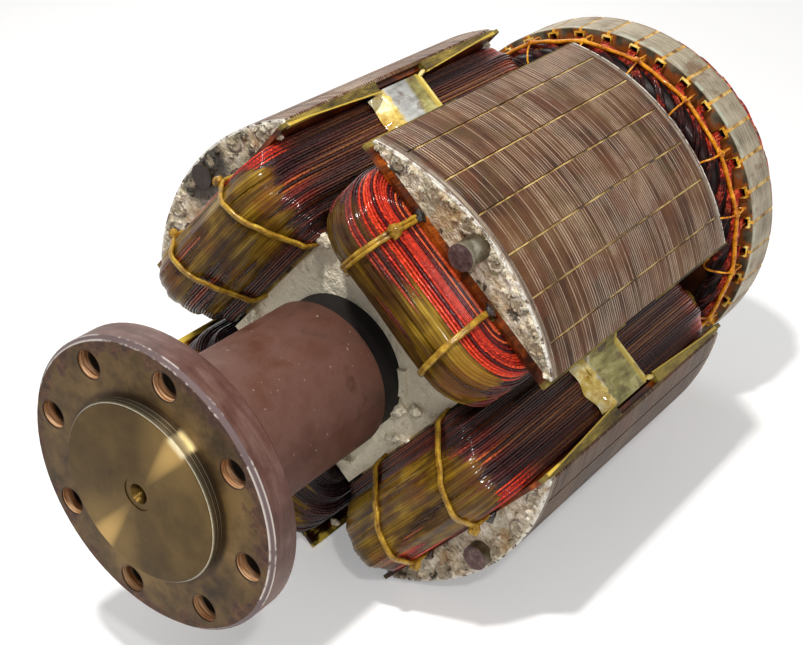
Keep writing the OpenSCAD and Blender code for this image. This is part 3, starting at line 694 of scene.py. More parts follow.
class Shape:
    """Collects points and faces in millimetres for one mesh."""

    def __init__(self):
        self.points = []
        self.faces = []

    def grid(self, rows, ring=False, loop=False, caps=False, keep=None):
        """Adds faces between rows of points; ring closes each row, loop joins the last row."""
        start = len(self.points)
        wide = len(rows[0])
        for row in rows:
            self.points.extend(row)
        for i in range(len(rows) if loop else len(rows) - 1):
            for j in range(wide if ring else wide - 1):
                if keep and not keep(i, j):
                    continue
                a, b = i * wide, ((i + 1) % len(rows)) * wide
                k = (j + 1) % wide
                self.faces.append((start + a + j, start + a + k, start + b + k, start + b + j))
        if caps:
            last = start + (len(rows) - 1) * wide
            self.faces.append(tuple(range(start + wide - 1, start - 1, -1)))
            self.faces.append(tuple(range(last, last + wide)))

    def lump(self, path, radii, seed, rough, sides=12, rings=10, flat=(1.0, 1.0, 1.0)):
        """A closed, uneven bead along a path, thick in the middle and rounded at both ends."""
        path = [Vector(p) for p in path]
        rows = []
        for i in range(rings + 1):
            t = i / rings
            reach = t * (len(path) - 1)
            k = min(int(reach), len(path) - 2)
            middle = path[k].lerp(path[k + 1], reach - k)
            along = (path[k + 1] - path[k]).normalized()
            side = along.orthogonal().normalized()
            up = along.cross(side)
            thick = radii[k] + (radii[k + 1] - radii[k]) * (reach - k)
            swell = math.sqrt(max(0.0, 1.0 - abs(2.0 * t - 1.0) ** 3)) + 0.02
            middle = middle + along * thick * 0.8 * (2.0 * t - 1.0) ** 3
            row = []
            for j in range(sides):
                turn = 2.0 * math.pi * j / sides
                way = side * math.cos(turn) + up * math.sin(turn)
                spot = middle + way * thick * swell
                uneven = noise.noise(spot * (1.1 / max(thick, 0.8)) + Vector((seed * 7.1, 0, 0)))
                way = Vector((way.x * flat[0], way.y * flat[1], way.z * flat[2]))
                row.append(middle + way * thick * swell * (1.0 + rough * 2.0 * uneven))
            rows.append(row)
        self.grid(rows, ring=True, caps=True)

    def turn(self, matrix, start=0):
        for i in range(start, len(self.points)):
            self.points[i] = matrix @ Vector(self.points[i])

    def mesh(self, runs=None):
        """The finished mesh; runs are each point's place along a film and the film's depth."""
        made = bpy.data.meshes.new("shape")
        made.from_pydata([tuple(Vector(p) * MM) for p in self.points], [], self.faces)
        if runs:
            layer = made.attributes.new("run", "FLOAT_VECTOR", "POINT")
            layer.data.foreach_set("vector", [value * MM for run in runs for value in run[:3]])
            layer = made.attributes.new("depth", "FLOAT", "POINT")
            layer.data.foreach_set("value", [run[3] * MM for run in runs])
        made.validate()
        tool = bmesh.new()
        tool.from_mesh(made)
        loose = [v for v in tool.verts if not v.link_faces]
        bmesh.ops.delete(tool, geom=loose, context="VERTS")
        bmesh.ops.recalc_face_normals(tool, faces=tool.faces)
        tool.to_mesh(made)
        tool.free()
        made.shade_smooth()
        return made


def piece(name, mesh, material, slot, *stands_for):
    """Puts a finished mesh in the scene as a part of the rotor."""
    mesh.name = name
    mesh.materials.clear()
    mesh.materials.append(material)
    made = bpy.data.objects.new(name, mesh)
    bpy.context.scene.collection.objects.link(made)
    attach(made, "root")
    if stands_for:
        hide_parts(*stands_for)
    return made


class Recipe(Tree):
    """A geometry node tree with named inputs."""

    def __init__(self, name, inputs):
        super().__init__(bpy.data.node_groups.new(name, "GeometryNodeTree"))
        self.keys = {}
        for label, kind in [("Geometry", "Geometry"), *inputs]:
            item = self.tree.interface.new_socket(label, in_out="INPUT",
                                                  socket_type="NodeSocket" + kind)
            self.keys[label] = item.identifier
        self.tree.interface.new_socket("Geometry", in_out="OUTPUT",
                                       socket_type="NodeSocketGeometry")
        self.entry = self.tree.nodes.new("NodeGroupInput")
        self.exit = self.tree.nodes.new("NodeGroupOutput")

    def given(self, label):
        return Signal(self.entry.outputs[label])

    def named(self, name, kind="FLOAT"):
        return self.node("GeometryNodeInputNamedAttribute", {"data_type": kind}, {"Name": name})

    def store(self, shape, name, value, kind="FLOAT"):
        """Keeps a value on each point for the finish."""
        return self.node("GeometryNodeStoreNamedAttribute",
                         {"data_type": kind, "domain": "POINT"},
                         {"Geometry": shape, "Name": name, "Value": value})

    def vector(self, operation, first, second, socket=1):
        return self.node("ShaderNodeVectorMath", {"operation": operation},
                         {0: first, socket: second})

    def noise(self, spot, seed, scale, detail, output=0):
        return self.node("ShaderNodeTexNoise", {"noise_dimensions": "4D"},
                         {"Vector": spot, "W": seed, "Scale": scale, "Detail": detail}, output)

    def moved(self, shape, offset):
        return self.node("GeometryNodeSetPosition", sockets={"Geometry": shape, "Offset": offset})

    def swayed(self, shape, sway):
        """Lets the points wander off along a noise's colours."""
        centred = self.vector("SUBTRACT", sway, (0.5,) * 3)
        return self.moved(shape, self.vector("SCALE", centred, self.given("Wander"), "Scale"))

    def swept(self, curve, sides, radius, **others):
        """Sweeps a round section along a curve."""
        section = self.node("GeometryNodeCurvePrimitiveCircle", {"mode": "RADIUS"},
                            {"Resolution": sides, "Radius": radius})
        sockets = {key.replace("_", " "): value for key, value in others.items()}
        return self.node("GeometryNodeCurveToMesh",
                         sockets={"Curve": curve, "Profile Curve": section, **sockets})

    def finish(self, shape):
        smooth = self.node("GeometryNodeSetShadeSmooth", sockets={"Geometry": shape})
        whole = self.node("GeometryNodeRealizeInstances", sockets={"Geometry": smooth})
        last = self.node("GeometryNodeSetMaterial",
                         sockets={"Geometry": whole, "Material": self.given("Material")})
        feed(self.exit.inputs[0], last)

    def run(self, mesh, **values):
        """Runs the recipe on a mesh and gives back the plain mesh it makes."""
        holder = bpy.data.objects.new("holder", mesh)
        bpy.context.scene.collection.objects.link(holder)
        modifier = holder.modifiers.new("recipe", "NODES")
        modifier.node_group = self.tree
        for label, value in values.items():
            modifier[self.keys[label.replace("_", " ")]] = value
        ready = holder.evaluated_get(bpy.context.evaluated_depsgraph_get())
        made = bpy.data.meshes.new_from_object(ready)
        holder.modifiers.remove(modifier)
        bpy.data.objects.remove(holder)
        return made


WIRE_R = 1.25
COIL_INNER = 57.5
COIL_FRONT = PLATES_START - 6.5
COIL_BACK = PLATES_END + 6.5
COIL_CORNER = 6.0
MIDDLE_Y = (COIL_FRONT + COIL_BACK) / 2
COIL_HALF = (COIL_BACK - COIL_FRONT) / 2
CORNER_POINTS = 11
CORNER_STEP = 0.05
SIDE_PARTS = 22
END_PARTS = 9
# Height, growth along the side and growth over the end of the winding's outside
COIL_OUTSIDE = [
    (160.1, 1.2, 1.2), (160.1, 27.0, 19.0), (159.2, 31.0, 22.5), (156.5, 33.0, 26.0),
    (152.0, 33.6, 31.0), (148.5, 34.6, 36.5), (145.5, 37.2, 39.8), (140.5, 37.3, 41.2),
    (139.5, 36.0, 41.0), (133.5, 36.0, 41.6), (132.5, 37.3, 41.6), (124.5, 37.3, 40.8),
    (123.5, 36.1, 40.2), (118.0, 36.1, 37.6), (117.0, 37.3, 37.0), (110.0, 37.3, 32.6),
    (106.5, 34.5, 29.6), (104.5, 29.3, 27.8), (96.5, 29.3, 20.6), (93.5, 23.0, 17.6),
    (92.0, 17.7, 15.6), (84.0, 17.7, 8.0), (83.7, 14.0, 6.0), (83.7, 1.2, 1.2)]


def inner_loop():
    """Points of the coil's inner outline, each with its outward direction."""
    r = COIL_CORNER
    loop = []
    sides = [((1, 1), 0.0), ((-1, 1), 0.5), ((-1, -1), 1.0), ((1, -1), 1.5)]
    corners = []
    for (sx, sy), start in sides:
        arc = []
        for i in range(CORNER_POINTS):
            a = math.pi * (start + CORNER_STEP * i)
            out = Vector((math.cos(a), math.sin(a), 0.0))
            centre = Vector((sx * (COIL_INNER - r), MIDDLE_Y + sy * (COIL_HALF - r), 0.0))
            arc.append((centre + out * r, out))
        corners.append(arc)
    for k, arc in enumerate(corners):
        loop.extend(arc)
        begin, out = arc[-1]
        end = corners[(k + 1) % 4][0][0]
        parts = SIDE_PARTS if abs(out.x) > 0.5 else END_PARTS
        for i in range(1, parts):
            loop.append((begin.lerp(end, i / parts), out))
    return loop


INNER_LOOP = inner_loop()
lengths = [0.0]
for (w0, s0, e0), (w1, s1, e1) in zip(COIL_OUTSIDE, COIL_OUTSIDE[1:]):
    lengths.append(lengths[-1] + math.hypot(w1 - w0, max(abs(s1 - s0), abs(e1 - e0))))
TURNS = round(lengths[-1] / (2.0 * WIRE_R * 0.98)) + 1
WIRE_PITCH = lengths[-1] / (TURNS - 1)


def wound_turns():
    """Repeats one loop for each turn and grows it to that turn's height and width."""
    g = Recipe("wound_turns", [("Turns", "Int"), ("Wire Radius", "Float"), ("Wander", "Float"),
                               ("Seed", "Float"), ("Material", "Material")])
    curve = g.node("GeometryNodeMeshToCurve", sockets={"Mesh": g.given("Geometry")})
    copies = g.node("GeometryNodeDuplicateElements", {"domain": "SPLINE"},
                    {"Geometry": curve, "Amount": g.given("Turns")}).socket.node
    index = Signal(copies.outputs["Duplicate Index"])
    share = index / (g.given("Turns") - 1.0)
    # one curve for each column of the winding's outside, over the range of its values
    grown = []
    for column, low, high in ((1, 0.0, 40.0), (2, 0.0, 44.0), (0, 80.0, 164.0)):
        graph = g.node("ShaderNodeFloatCurve", sockets={"Value": share})
        line = graph.socket.node.mapping.curves[0]
        stops = [(l / lengths[-1], (row[column] - low) / (high - low))
                 for l, row in zip(lengths, COIL_OUTSIDE)]
        line.points[0].location = stops[0]
        line.points[1].location = stops[-1]
        for stop in stops[1:-1]:
            line.points.new(*stop)
        for point in line.points:
            point.handle_type = "VECTOR"
        graph.socket.node.mapping.update()
        grown.append(graph * ((high - low) * MM) + low * MM)
    outward = g.named("outward", "FLOAT_VECTOR")
    growth = g.vector("MULTIPLY", outward, g.point(grown[0], grown[1], 0.0))
    lifted = g.vector("ADD", growth, g.point(0.0, 0.0, grown[2]))
    turns = g.moved(Signal(copies.outputs[0]), lifted)
    here = g.node("GeometryNodeInputPosition")
    turns = g.swayed(turns, g.noise(here, index * 3.7 + g.given("Seed"), 26.0, 1.0, 1))
    turns = g.store(turns, "spot", here, "FLOAT_VECTOR")
    turns = g.store(turns, "turn", index + 0.0)
    g.finish(g.swept(turns, 6, g.given("Wire Radius")))
    return g


def wire_finish():
    f = Finish("enamelled_field_wire")
    _, y, w = f.split(f.attribute("spot", 1))
    turn = f.attribute("turn", 2)
    x, _, z = f.split(f.here())
    own = f.point(x, y, z)
    group = f.noise(f.point(turn * 0.23, y * 0.004, x * 0.004 + z * 0.004), 1.0, 2.0, 0.6)
    single = f.noise(f.point(turn * 0.91, y * 0.008, 4.0), 1.0, 0.0, 0.5)
    head = ((y - MIDDLE_Y).math("ABSOLUTE") - COIL_HALF).smooth(-30.0, 12.0)
    crest = (w - 143.0).smooth(0.0, 9.0)
    tone = group * 0.5 + single * 0.5
    side_tone = f.ramp(tone, (0.38, (0.024, 0.006, 0.006)), (0.47, (0.066, 0.015, 0.011)),
                       (0.55, (0.125, 0.034, 0.014)), (0.64, (0.23, 0.085, 0.024)))
    head_tone = f.ramp(tone + crest * 0.04,
                       (0.4, (0.022, 0.002, 0.003)), (0.46, (0.14, 0.007, 0.006)),
                       (0.53, (0.54, 0.026, 0.008)), (0.63, (0.8, 0.13, 0.028)))
    # painted light: the crest is painted a brighter red, partly its own clean enamel
    colour = f.mix((head * 0.45 + crest * 0.55) * head, side_tone, head_tone)
    violet = (w - 157.5).smooth(0.0, 2.0) * f.noise(own, 0.02, 2.0, 0.5).smooth(0.46, 0.58)
    colour = f.mix(violet * 0.2, colour, (0.06, 0.01, 0.012))
    # painted shade: the wires near the hub are painted darker
    low = (w - 98.0).fall(0.0, 26.0)
    colour = f.mix(low * 0.75, colour, (0.014, 0.007, 0.006))
    # painted shade: the lowest coil's wires are painted darker
    third = ((x + z) * -DIAGONAL).smooth(50.0, 80.0)
    colour = f.mix(third * (0.62 + single * 0.4), colour, (0.016, 0.008, 0.01))
    dust = f.noise(own, 0.9, 2.0, 0.7)
    colour = f.mix(dust.smooth(0.66, 0.72) * 0.3, colour, (0.36, 0.22, 0.13))
    bead = f.noise(own, 0.42, 1.0, 0.5)
    # the red enamel is clear, and the copper shines through it where it is clean
    shine = head * 0.2 + crest * head * 0.25
    return f.set(colour, 0.3 + dust * 0.14, f.bump(bead, 1.0, 0.003),
                 coat=(crest * -0.35 + 0.8, 0.12, 1.36), Metallic=shine, Specular_IOR_Level=0.08)


def resin_film_finish():
    """Amber film that streaks along the turns and thins out to clear over them."""
    f = Finish("coil_resin")
    around, past, across = f.split(f.attribute("run", 1))
    depth = f.attribute("depth", 2) * IN_MM
    x, y, z, spot = f.place()
    streak = f.noise(f.point(around * 0.014, past * 0.014, across * 0.15), 1.0, 2.0, 0.6)
    narrow = f.noise(f.point(around * 0.03, past * 0.03, across * 0.9 + 9.0), 1.0, 1.0, 0.5)
    cloud = f.noise(spot, 0.03, 3.0, 0.6)
    wire = ((across / WIRE_PITCH).math("FRACT") - 0.5).math("ABSOLUTE") * 2.0
    valley = wire.fall(0.0, 0.45)
    tone = streak * 0.42 + cloud * 0.48 + narrow * 0.1
    colour = f.ramp(tone, (0.37, (0.038, 0.015, 0.004)), (0.45, (0.108, 0.052, 0.006)),
                    (0.53, (0.215, 0.118, 0.01)), (0.63, (0.35, 0.218, 0.024)))
    warm = f.noise(f.point(x, y, z + 25.0), 0.022, 2.0, 0.5).smooth(0.5, 0.64)
    colour = f.mix(warm * 0.45, colour, (0.25, 0.072, 0.008))
    plum = f.noise(f.point(around * 0.012, past * 0.012, across * 0.14 + 4.0), 1.0, 1.0, 0.5)
    colour = f.mix(plum.smooth(0.55, 0.62) * 0.55, colour, (0.04, 0.015, 0.011))
    # painted shade: the valleys between the wires under the film are painted darker
    colour = f.mix(valley * 0.6, colour, (0.036, 0.014, 0.003))
    cover = (depth + (streak - 0.5) * 2.0 + valley * 0.3).smooth(0.25, 1.65)
    height = streak * 0.7 + narrow * 0.3 + cloud * 0.3 + wire * 0.22
    return f.set(colour, 0.28 + narrow * 0.16, f.bump(height, 0.75, 0.0018),
                 coat=(0.38, 0.1, 1.35), Alpha=cover, Specular_IOR_Level=0.02)


def resin_finish(name, dark, mid, light):
    f = Finish(name)
    *_, spot = f.place()
    cloud = f.noise(spot, 0.06, 4.0, 0.6)
    streak = f.noise(spot, 0.3, 3.0, 0.65)
    colour = f.ramp(cloud * 0.75 + streak * 0.25, (0.38, dark), (0.5, mid), (0.62, light))
    return f.set(colour, 0.24 + streak * 0.14, f.bump(cloud * 0.8 + streak * 0.45, 0.8, 0.0022),
                 coat=(0.85, 0.06, 1.4), Specular_IOR_Level=0.15)


def outside_rows(lift, step, wave=None):
    """Rows of points round the winding's outside, raised by lift over the wires' centres.

    Gives the rows, and for each point its place round the coil, its length down the
    outside and its height over the wires.
    """
    rows, runs = [], []
    stations = []
    for k in range(len(COIL_OUTSIDE) - 1):
        parts = max(1, round((lengths[k + 1] - lengths[k]) / step))
        for i in range(parts):
            stations.append((k, i / parts))
    stations.append((len(COIL_OUTSIDE) - 2, 1.0))
    for k, t in stations:
        near, far = COIL_OUTSIDE[k], COIL_OUTSIDE[k + 1]
        level, side, end = (a + (b - a) * t for a, b in zip(near, far))
        down = lengths[k] + (lengths[k + 1] - lengths[k]) * t
        row = []
        for place, out in INNER_LOOP:
            grow = abs(out.x) * (far[1] - near[1]) + abs(out.y) * (far[2] - near[2])
            slope = Vector((grow, far[0] - near[0])).normalized()
            away, up = -slope.y, slope.x
            point = Vector((place.x + out.x * side, place.y + out.y * end, level))
            height = lift + (wave(place, point, level, down) if wave else 0.0)
            row.append(point + Vector((out.x * away, out.y * away, up)) * height)
            runs.append((place.x, place.y, down, height))
        rows.append(row)
    return rows, runs


def held(value):
    """The value, kept between 0 and 1."""
    return min(1.0, max(0.0, value))


def resin_wave(seed, top):
    """Height of the resin: flooded over the end turns below top, in streaks further up."""
    def wave(place, point, level, down):
        past = abs(point.y - MIDDLE_Y) - COIL_HALF
        flood = held((past - 4.0) / 24.0) * held((top - level) / 9.0)
        flood *= 0.45 + 0.55 * held((level - 84.0) / 14.0)
        broad = noise.noise(Vector((place.x * 0.013 + seed * 9.0, place.y * 0.01, down * 0.045)))
        streak = noise.noise(Vector((place.x * 0.012, place.y * 0.012 + seed * 5.0, down * 0.22)))
        fine = noise.noise(Vector((place.x * 0.05, point.y * 0.05 + seed, down * 0.55)))
        return -1.6 + 2.9 * flood + 1.5 * broad * (0.3 + flood) + 1.2 * streak + 0.4 * fine

    return wave


HEART_DEPTH = 0.8
HEART_STEP = 8.0
FILM_LIFT = 0.55
FILM_STEP = 1.6
FILM_LEAST = 0.15
# How high the resin floods each coil's end turns
FLOOD_TOPS = {1: 158.0, 2: 168.0, 3: 158.0, 4: 168.0}
turn_recipe = wound_turns()
wire_material = wire_finish()
# painted shade: a near-black finish for the shell under the wires
gap_shade_material = board_finish("coil_heart", (0.01, 0.003, 0.003), (0.024, 0.006, 0.005),
                              (0.05, 0.013, 0.009), 0.2)
resin_material = resin_film_finish()
loop_mesh = bpy.data.meshes.new("inner_loop")
count = len(INNER_LOOP)
loop_mesh.from_pydata([tuple(place * MM) for place, _ in INNER_LOOP],
                      [(i, (i + 1) % count) for i in range(count)], [])
outward = loop_mesh.attributes.new("outward", "FLOAT_VECTOR", "POINT")
outward.data.foreach_set("vector", [value for _, out in INNER_LOOP for value in out])
for number, _, stand in poles():
    wires = turn_recipe.run(loop_mesh, Turns=TURNS, Wire_Radius=WIRE_R * MM, Wander=0.9 * MM,
                            Seed=float(number * 11), Material=wire_material)
    wires.transform(stand)
    piece(f"coil_wires_{number}", wires, wire_material, "enamelled_wire",
          f"field_coil_{number}")
    # painted shade: a shell just under the wires shows dark through the gaps between turns
    heart = Shape()
    heart.grid(outside_rows(-HEART_DEPTH, HEART_STEP)[0], ring=True, loop=True)
    heart.turn(stand)
    piece(f"coil_heart_{number}", heart.mesh(), gap_shade_material, "enamelled_wire")
    film = Shape()
    film_rows, runs = outside_rows(FILM_LIFT, FILM_STEP, resin_wave(number, FLOOD_TOPS[number]))
    film.grid(film_rows, ring=True, keep=lambda i, j: max(
        runs[a * count + b][3] for a in (i, i + 1) for b in (j, (j + 1) % count)) > FILM_LEAST)
    film.turn(stand)
    piece(f"coil_resin_{number}", film.mesh(runs), resin_material, "resin_cord")

# ---------------------------------------------------------------------------
# Coil lashings.
# Pairs of round cords, soaked in resin, are tied round both ends of each coil. They
# come out from under the collar through burnt notches and end in hard amber knots.
# ---------------------------------------------------------------------------
def laid_cord():
    """Sweeps an uneven round section along each chain of edges."""
    g = Recipe("laid_cord", [("Thickness", "Float"), ("Step", "Float"), ("Sides", "Int"),
                             ("Wander", "Float"), ("Uneven", "Float"), ("Seed", "Float"),
                             ("Material", "Material")])
    curve = g.node("GeometryNodeMeshToCurve", sockets={"Mesh": g.given("Geometry")})
    curve = g.node("GeometryNodeCurveSplineType", {"spline_type": "CATMULL_ROM"},
                   {"Curve": curve})
    curve = g.node("GeometryNodeResampleCurve", {"mode": "LENGTH"},
                   {"Curve": curve, "Length": g.given("Step")})
    here = g.node("GeometryNodeInputPosition")
    curve = g.swayed(curve, g.noise(here, g.given("Seed"), 55.0, 2.0, 1))
    curve = g.store(curve, "along", g.node("GeometryNodeSplineParameter", output=1))
    bulge = g.noise(here, g.given("Seed") + 5.0, 120.0, 1.0)
    size = g.named("thick") * ((bulge - 0.5) * g.given("Uneven") + 1.0)
    g.finish(g.swept(curve, g.given("Sides"), g.given("Thickness") * 0.5, Scale=size,
                     Fill_Caps=True))
    return g


def chains(paths):
    """A mesh of open or closed chains of edges; each path is (points, thickness, closed)."""
    points, edges, thick = [], [], []
    for path, size, closed in paths:
        start = len(points)
        points.extend(tuple(Vector(p) * MM) for p in path)
        sizes = size if hasattr(size, "__len__") else [size] * len(path)
        thick.extend(sizes)
        edges.extend((start + i, start + i + 1) for i in range(len(path) - 1))
        if closed:
            edges.append((start + len(path) - 1, start))
    mesh = bpy.data.meshes.new("chains")
    mesh.from_pydata(points, edges, [])
    mesh.attributes.new("thick", "FLOAT", "POINT").data.foreach_set("value", thick)
    return mesh


def cord_finish(name, dark, mid, light):
    f = Finish(name)
    x, _, z, spot = f.place()
    along = f.attribute("along", 2) * IN_MM
    cloud = f.noise(spot, 0.12, 3.0, 0.6)
    weave = f.noise(f.point(along * 1.1, x * 0.3, z * 0.3), 1.0, 2.0, 0.6)
    colour = f.ramp(cloud * 0.7 + weave * 0.3, (0.34, dark), (0.5, mid), (0.66, light))
    return f.set(colour, 0.28 + weave * 0.1, f.bump(weave * 0.6 + cloud, 0.6, 0.0012),
                 coat=(0.5, 0.12, 1.38), Specular_IOR_Level=0.12)


CORD_TRACK = [(216.0, 163.4), (206.0, 164.3), (192.0, 163.7), (184.5, 161.4), (178.0, 156.4),
              (171.0, 151.4), (166.6, 146.0), (164.9, 140.0), (164.7, 130.0), (166.0, 121.0),
              (169.6, 113.4), (174.6, 106.8), (180.2, 100.8), (186.4, 94.6), (192.6, 88.4),
              (199.0, 82.6), (214.0, 80.6)]
# A knot's distance along the shaft, its height and its size
NEAR_KNOT = (186.0, 164.6, 1.0)
FAR_KNOT = (190.0, 165.0, 1.0)
LARGE_KNOT = (183.0, 161.5, 1.35)
# Where each pole's cords start under the collar, where they end beside the hub, and their knots
CORDS = {1: ((-43, -47, LARGE_KNOT), (41, 47, None)),
         2: ((-39, -67, NEAR_KNOT), (46, 21, FAR_KNOT)),
         3: ((-45, -41, NEAR_KNOT), (44, 50, FAR_KNOT)),
         4: ((39, 64, NEAR_KNOT), (-46, -24, FAR_KNOT))}
NOTCH_Y = 209.0


def at_end(y, back):
    """A place along the shaft, or the same place at the coil's back end."""
    return 2.0 * MIDDLE_Y - y if back else y


cord_recipe = laid_cord()
lashing_material = cord_finish("resin_lashing", (0.12, 0.052, 0.004), (0.35, 0.185, 0.013),
                               (0.58, 0.37, 0.042))
soot_material = resin_finish("burnt_varnish", (0.006, 0.004, 0.003), (0.02, 0.01, 0.006),
                             (0.07, 0.034, 0.014))
burnt = Shape()
for number, _, stand in poles():
    paths = []
    knots = Shape()
    begin = len(burnt.points)
    for back in (False, True):
        for k, (top, foot, knot) in enumerate(CORDS[number]):
            spread = 1.5 if knot == LARGE_KNOT else 0.75
            for ply in (-spread, spread):
                path = []
                for i, (y, w) in enumerate(CORD_TRACK):
                    share = min(1.0, i / 10.0)
                    u = top + (foot - top) * share ** 1.3 + ply
                    path.append((u, at_end(y, back), w))
                paths.append((path, 1.0, False))
            seed = number * 5 + k + 20 * back
            if knot:
                y, w, large = knot
                y = at_end(y, back)
                u = top + (foot - top) * 0.1
                knots.lump([(u - 3.2, y + 1.0, w), (u, y, w + 1.0), (u + 3.2, y - 2.0, w)],
                           [3.2 * large, 4.4 * large, 2.8 * large], seed, 0.2)
                knots.lump([(u + 1, y - 3, w - 1), (u - 2, y + 4, w)],
                           [2.4 * large, 2.6 * large], seed + 7, 0.3)
            # the burnt notch where the cord comes out from under the collar
            y = at_end(NOTCH_Y, back)
            burnt.lump([(top - 4.5, y + 3.0, 165.0), (top, y, 166.0), (top + 4.5, y + 2.0, 165.0)],
                       [2.6, 3.9, 2.6], seed + 3, 0.35)
            burnt.lump([(top - 1.0, y + 4.0, 167.0), (top + 1.5, y - 3.0, 165.2)],
                       [2.2, 2.6], seed + 11, 0.35)
    mesh = cord_recipe.run(chains(paths), Thickness=3.5 * MM, Step=2.2 * MM, Sides=8,
                           Wander=1.0 * MM, Uneven=0.5, Seed=float(number),
                           Material=lashing_material)
    mesh.transform(stand)
    piece(f"lashing_cords_{number}", mesh, lashing_material, "resin_cord",
          f"coil_lashings_{number}")
    knots.turn(stand)
    piece(f"lashing_knots_{number}", knots.mesh(), lashing_material, "resin_cord")
    burnt.turn(stand, begin)
piece("burnt_notches", burnt.mesh(), soot_material, "resin_cord")

# ---------------------------------------------------------------------------
# Slot resin and brazed bar ends.
# Golden resin closes the narrow slot over each damper bar. At both end plates
# the bar's end sits in an uneven collar of brazing metal, and beads of it line
# the plate's edge.
# ---------------------------------------------------------------------------
BARS = 6
PLATE_ENDS = [(PLATES_START, -1.0), (PLATES_END, 1.0)]


def compass(angle):
    """The way out from the shaft at an angle from +Z, and the way across it."""
    return (Vector((math.sin(angle), 0.0, math.cos(angle))),
            Vector((math.cos(angle), 0.0, -math.sin(angle))))


def round_shaft(radius, angle, y):
    """A place given by its radius, its angle from +Z and its length along the shaft."""
    return Vector((radius * math.sin(angle), y, radius * math.cos(angle)))


def bars():
    """Each damper bar's pole and number, with the ways out and across at its place."""
    for number, angle, _ in poles():
        for bar in range(BARS):
            yield (number, bar, *compass(angle + (bar - (BARS - 1) / 2) * BAR_PITCH))


def seam_finish():
    f = Finish("slot_resin")
    *_, spot = f.place()
    cloud = f.noise(spot, 0.045, 4.0, 0.65)
    colour = f.ramp(cloud, (0.38, (0.08, 0.042, 0.012)), (0.47, (0.37, 0.215, 0.048)),
                    (0.58, (0.68, 0.48, 0.18)))
    return f.set(colour, 0.34 + cloud * 0.2, f.bump(cloud, 0.5, 0.0008), coat=(0.3, 0.03, 1.5))


SEAM_TOP = 199.25
SEAM_STEPS = 134
# Where the resin's section runs across the slot, and how far it lies under its top
SEAM_SECTION = [(-1.0, 2.4), (-0.98, 1.5), (-0.76, 1.4), (-0.68, 0.15), (0.1, 0.0),
                (0.7, 0.05), (0.95, 0.35), (1.0, 2.4)]
seams = Shape()
for number, bar, out, side in bars():
    rows = []
    for i in range(SEAM_STEPS + 1):
        y = STACK_START + 0.4 + (STACK_END - STACK_START - 0.8) * i / SEAM_STEPS
        wave = noise.noise(Vector((y * 0.11, number * 3.3, bar * 5.1)))
        top = SEAM_TOP + 0.55 * wave
        rows.append([out * (top - drop) + side * across + Vector((0.0, y, 0.0))
                     for across, drop in SEAM_SECTION])
    seams.grid(rows)
piece("slot_seams", seams.mesh(), seam_finish(), "resin_cord")

COLLAR_SIDES = 22
COLLAR_TOP_R = 198.6
# Radius and height of the braze's rings round a bar's end
COLLAR_RINGS = [(1.2, 0.3), (3.0, 0.6), (4.5, 1.5), (5.8, 1.6), (7.0, 0.8), (8.4, 0.3),
                (9.6, -0.5)]
collars = Shape()
for number, bar, out, side in bars():
    for end, sign in PLATE_ENDS:
        seed = Vector((number * 4.7, bar * 2.9, sign * 3.1))
        rows = []
        for reach, height in COLLAR_RINGS:
            row = []
            for j in range(COLLAR_SIDES):
                a = 2.0 * math.pi * j / COLLAR_SIDES
                way = side * math.cos(a) + out * math.sin(a)
                bump = noise.noise(way * 1.3 + seed)
                bulge = 0.9 * noise.noise(way * 3.1 + seed * 2.0) if height > 0 else 0.0
                spot = out * BAR_R + way * (reach * (1.0 + 0.45 * bump))
                spot *= min(1.0, COLLAR_TOP_R / spot.length)
                lift = sign * (height * (1.0 + bulge) + 0.2)
                row.append(spot + Vector((0.0, end + lift, 0.0)))
            rows.append(row)
        collars.grid(rows, ring=True)
piece("braze_collars", collars.mesh(), plate_material, "brazed_plate")

CRUST_LUMPS = 34
FACE_HALF = math.asin(SHOE_HALF / PLATE_R)
crust = Shape()
for number, angle, _ in poles():
    for end, sign in PLATE_ENDS:
        for k in range(CRUST_LUMPS):
            seed = Vector((number * 3.1, k * 1.37, sign * 2.0))
            a = noise.noise(seed) * 2.0
            b = noise.noise(seed + Vector((4.0, 8.0, 1.0))) * 2.0
            lean = angle + FACE_HALF * (2.0 * (k + 0.5 + 0.4 * a) / CRUST_LUMPS - 1.0)
            level = PLATE_R - 4.6 - 2.2 * abs(b) - (9.0 if k % 5 == 2 else 0.0)
            near = round_shaft(level, lean, end)
            far = round_shaft(level, lean + 0.018 + 0.012 * a, end - 0.6 * sign)
            crust.lump([near, far], [2.2 + 1.4 * abs(b), 1.8 + 1.2 * abs(a)], k + number * 50,
                       0.55, sides=10, rings=7)
piece("braze_crust", crust.mesh(), plate_material, "brazed_plate")

# ---------------------------------------------------------------------------
# Coil supports.
# A bent metal angle wedges each pair of coils apart, on a glossy yellow sheet.
# Thick cream resin fills its front end and runs along the collar's lips.
# ---------------------------------------------------------------------------
SUPPORT_FRONT, SUPPORT_BACK = extent("coil_support_1")


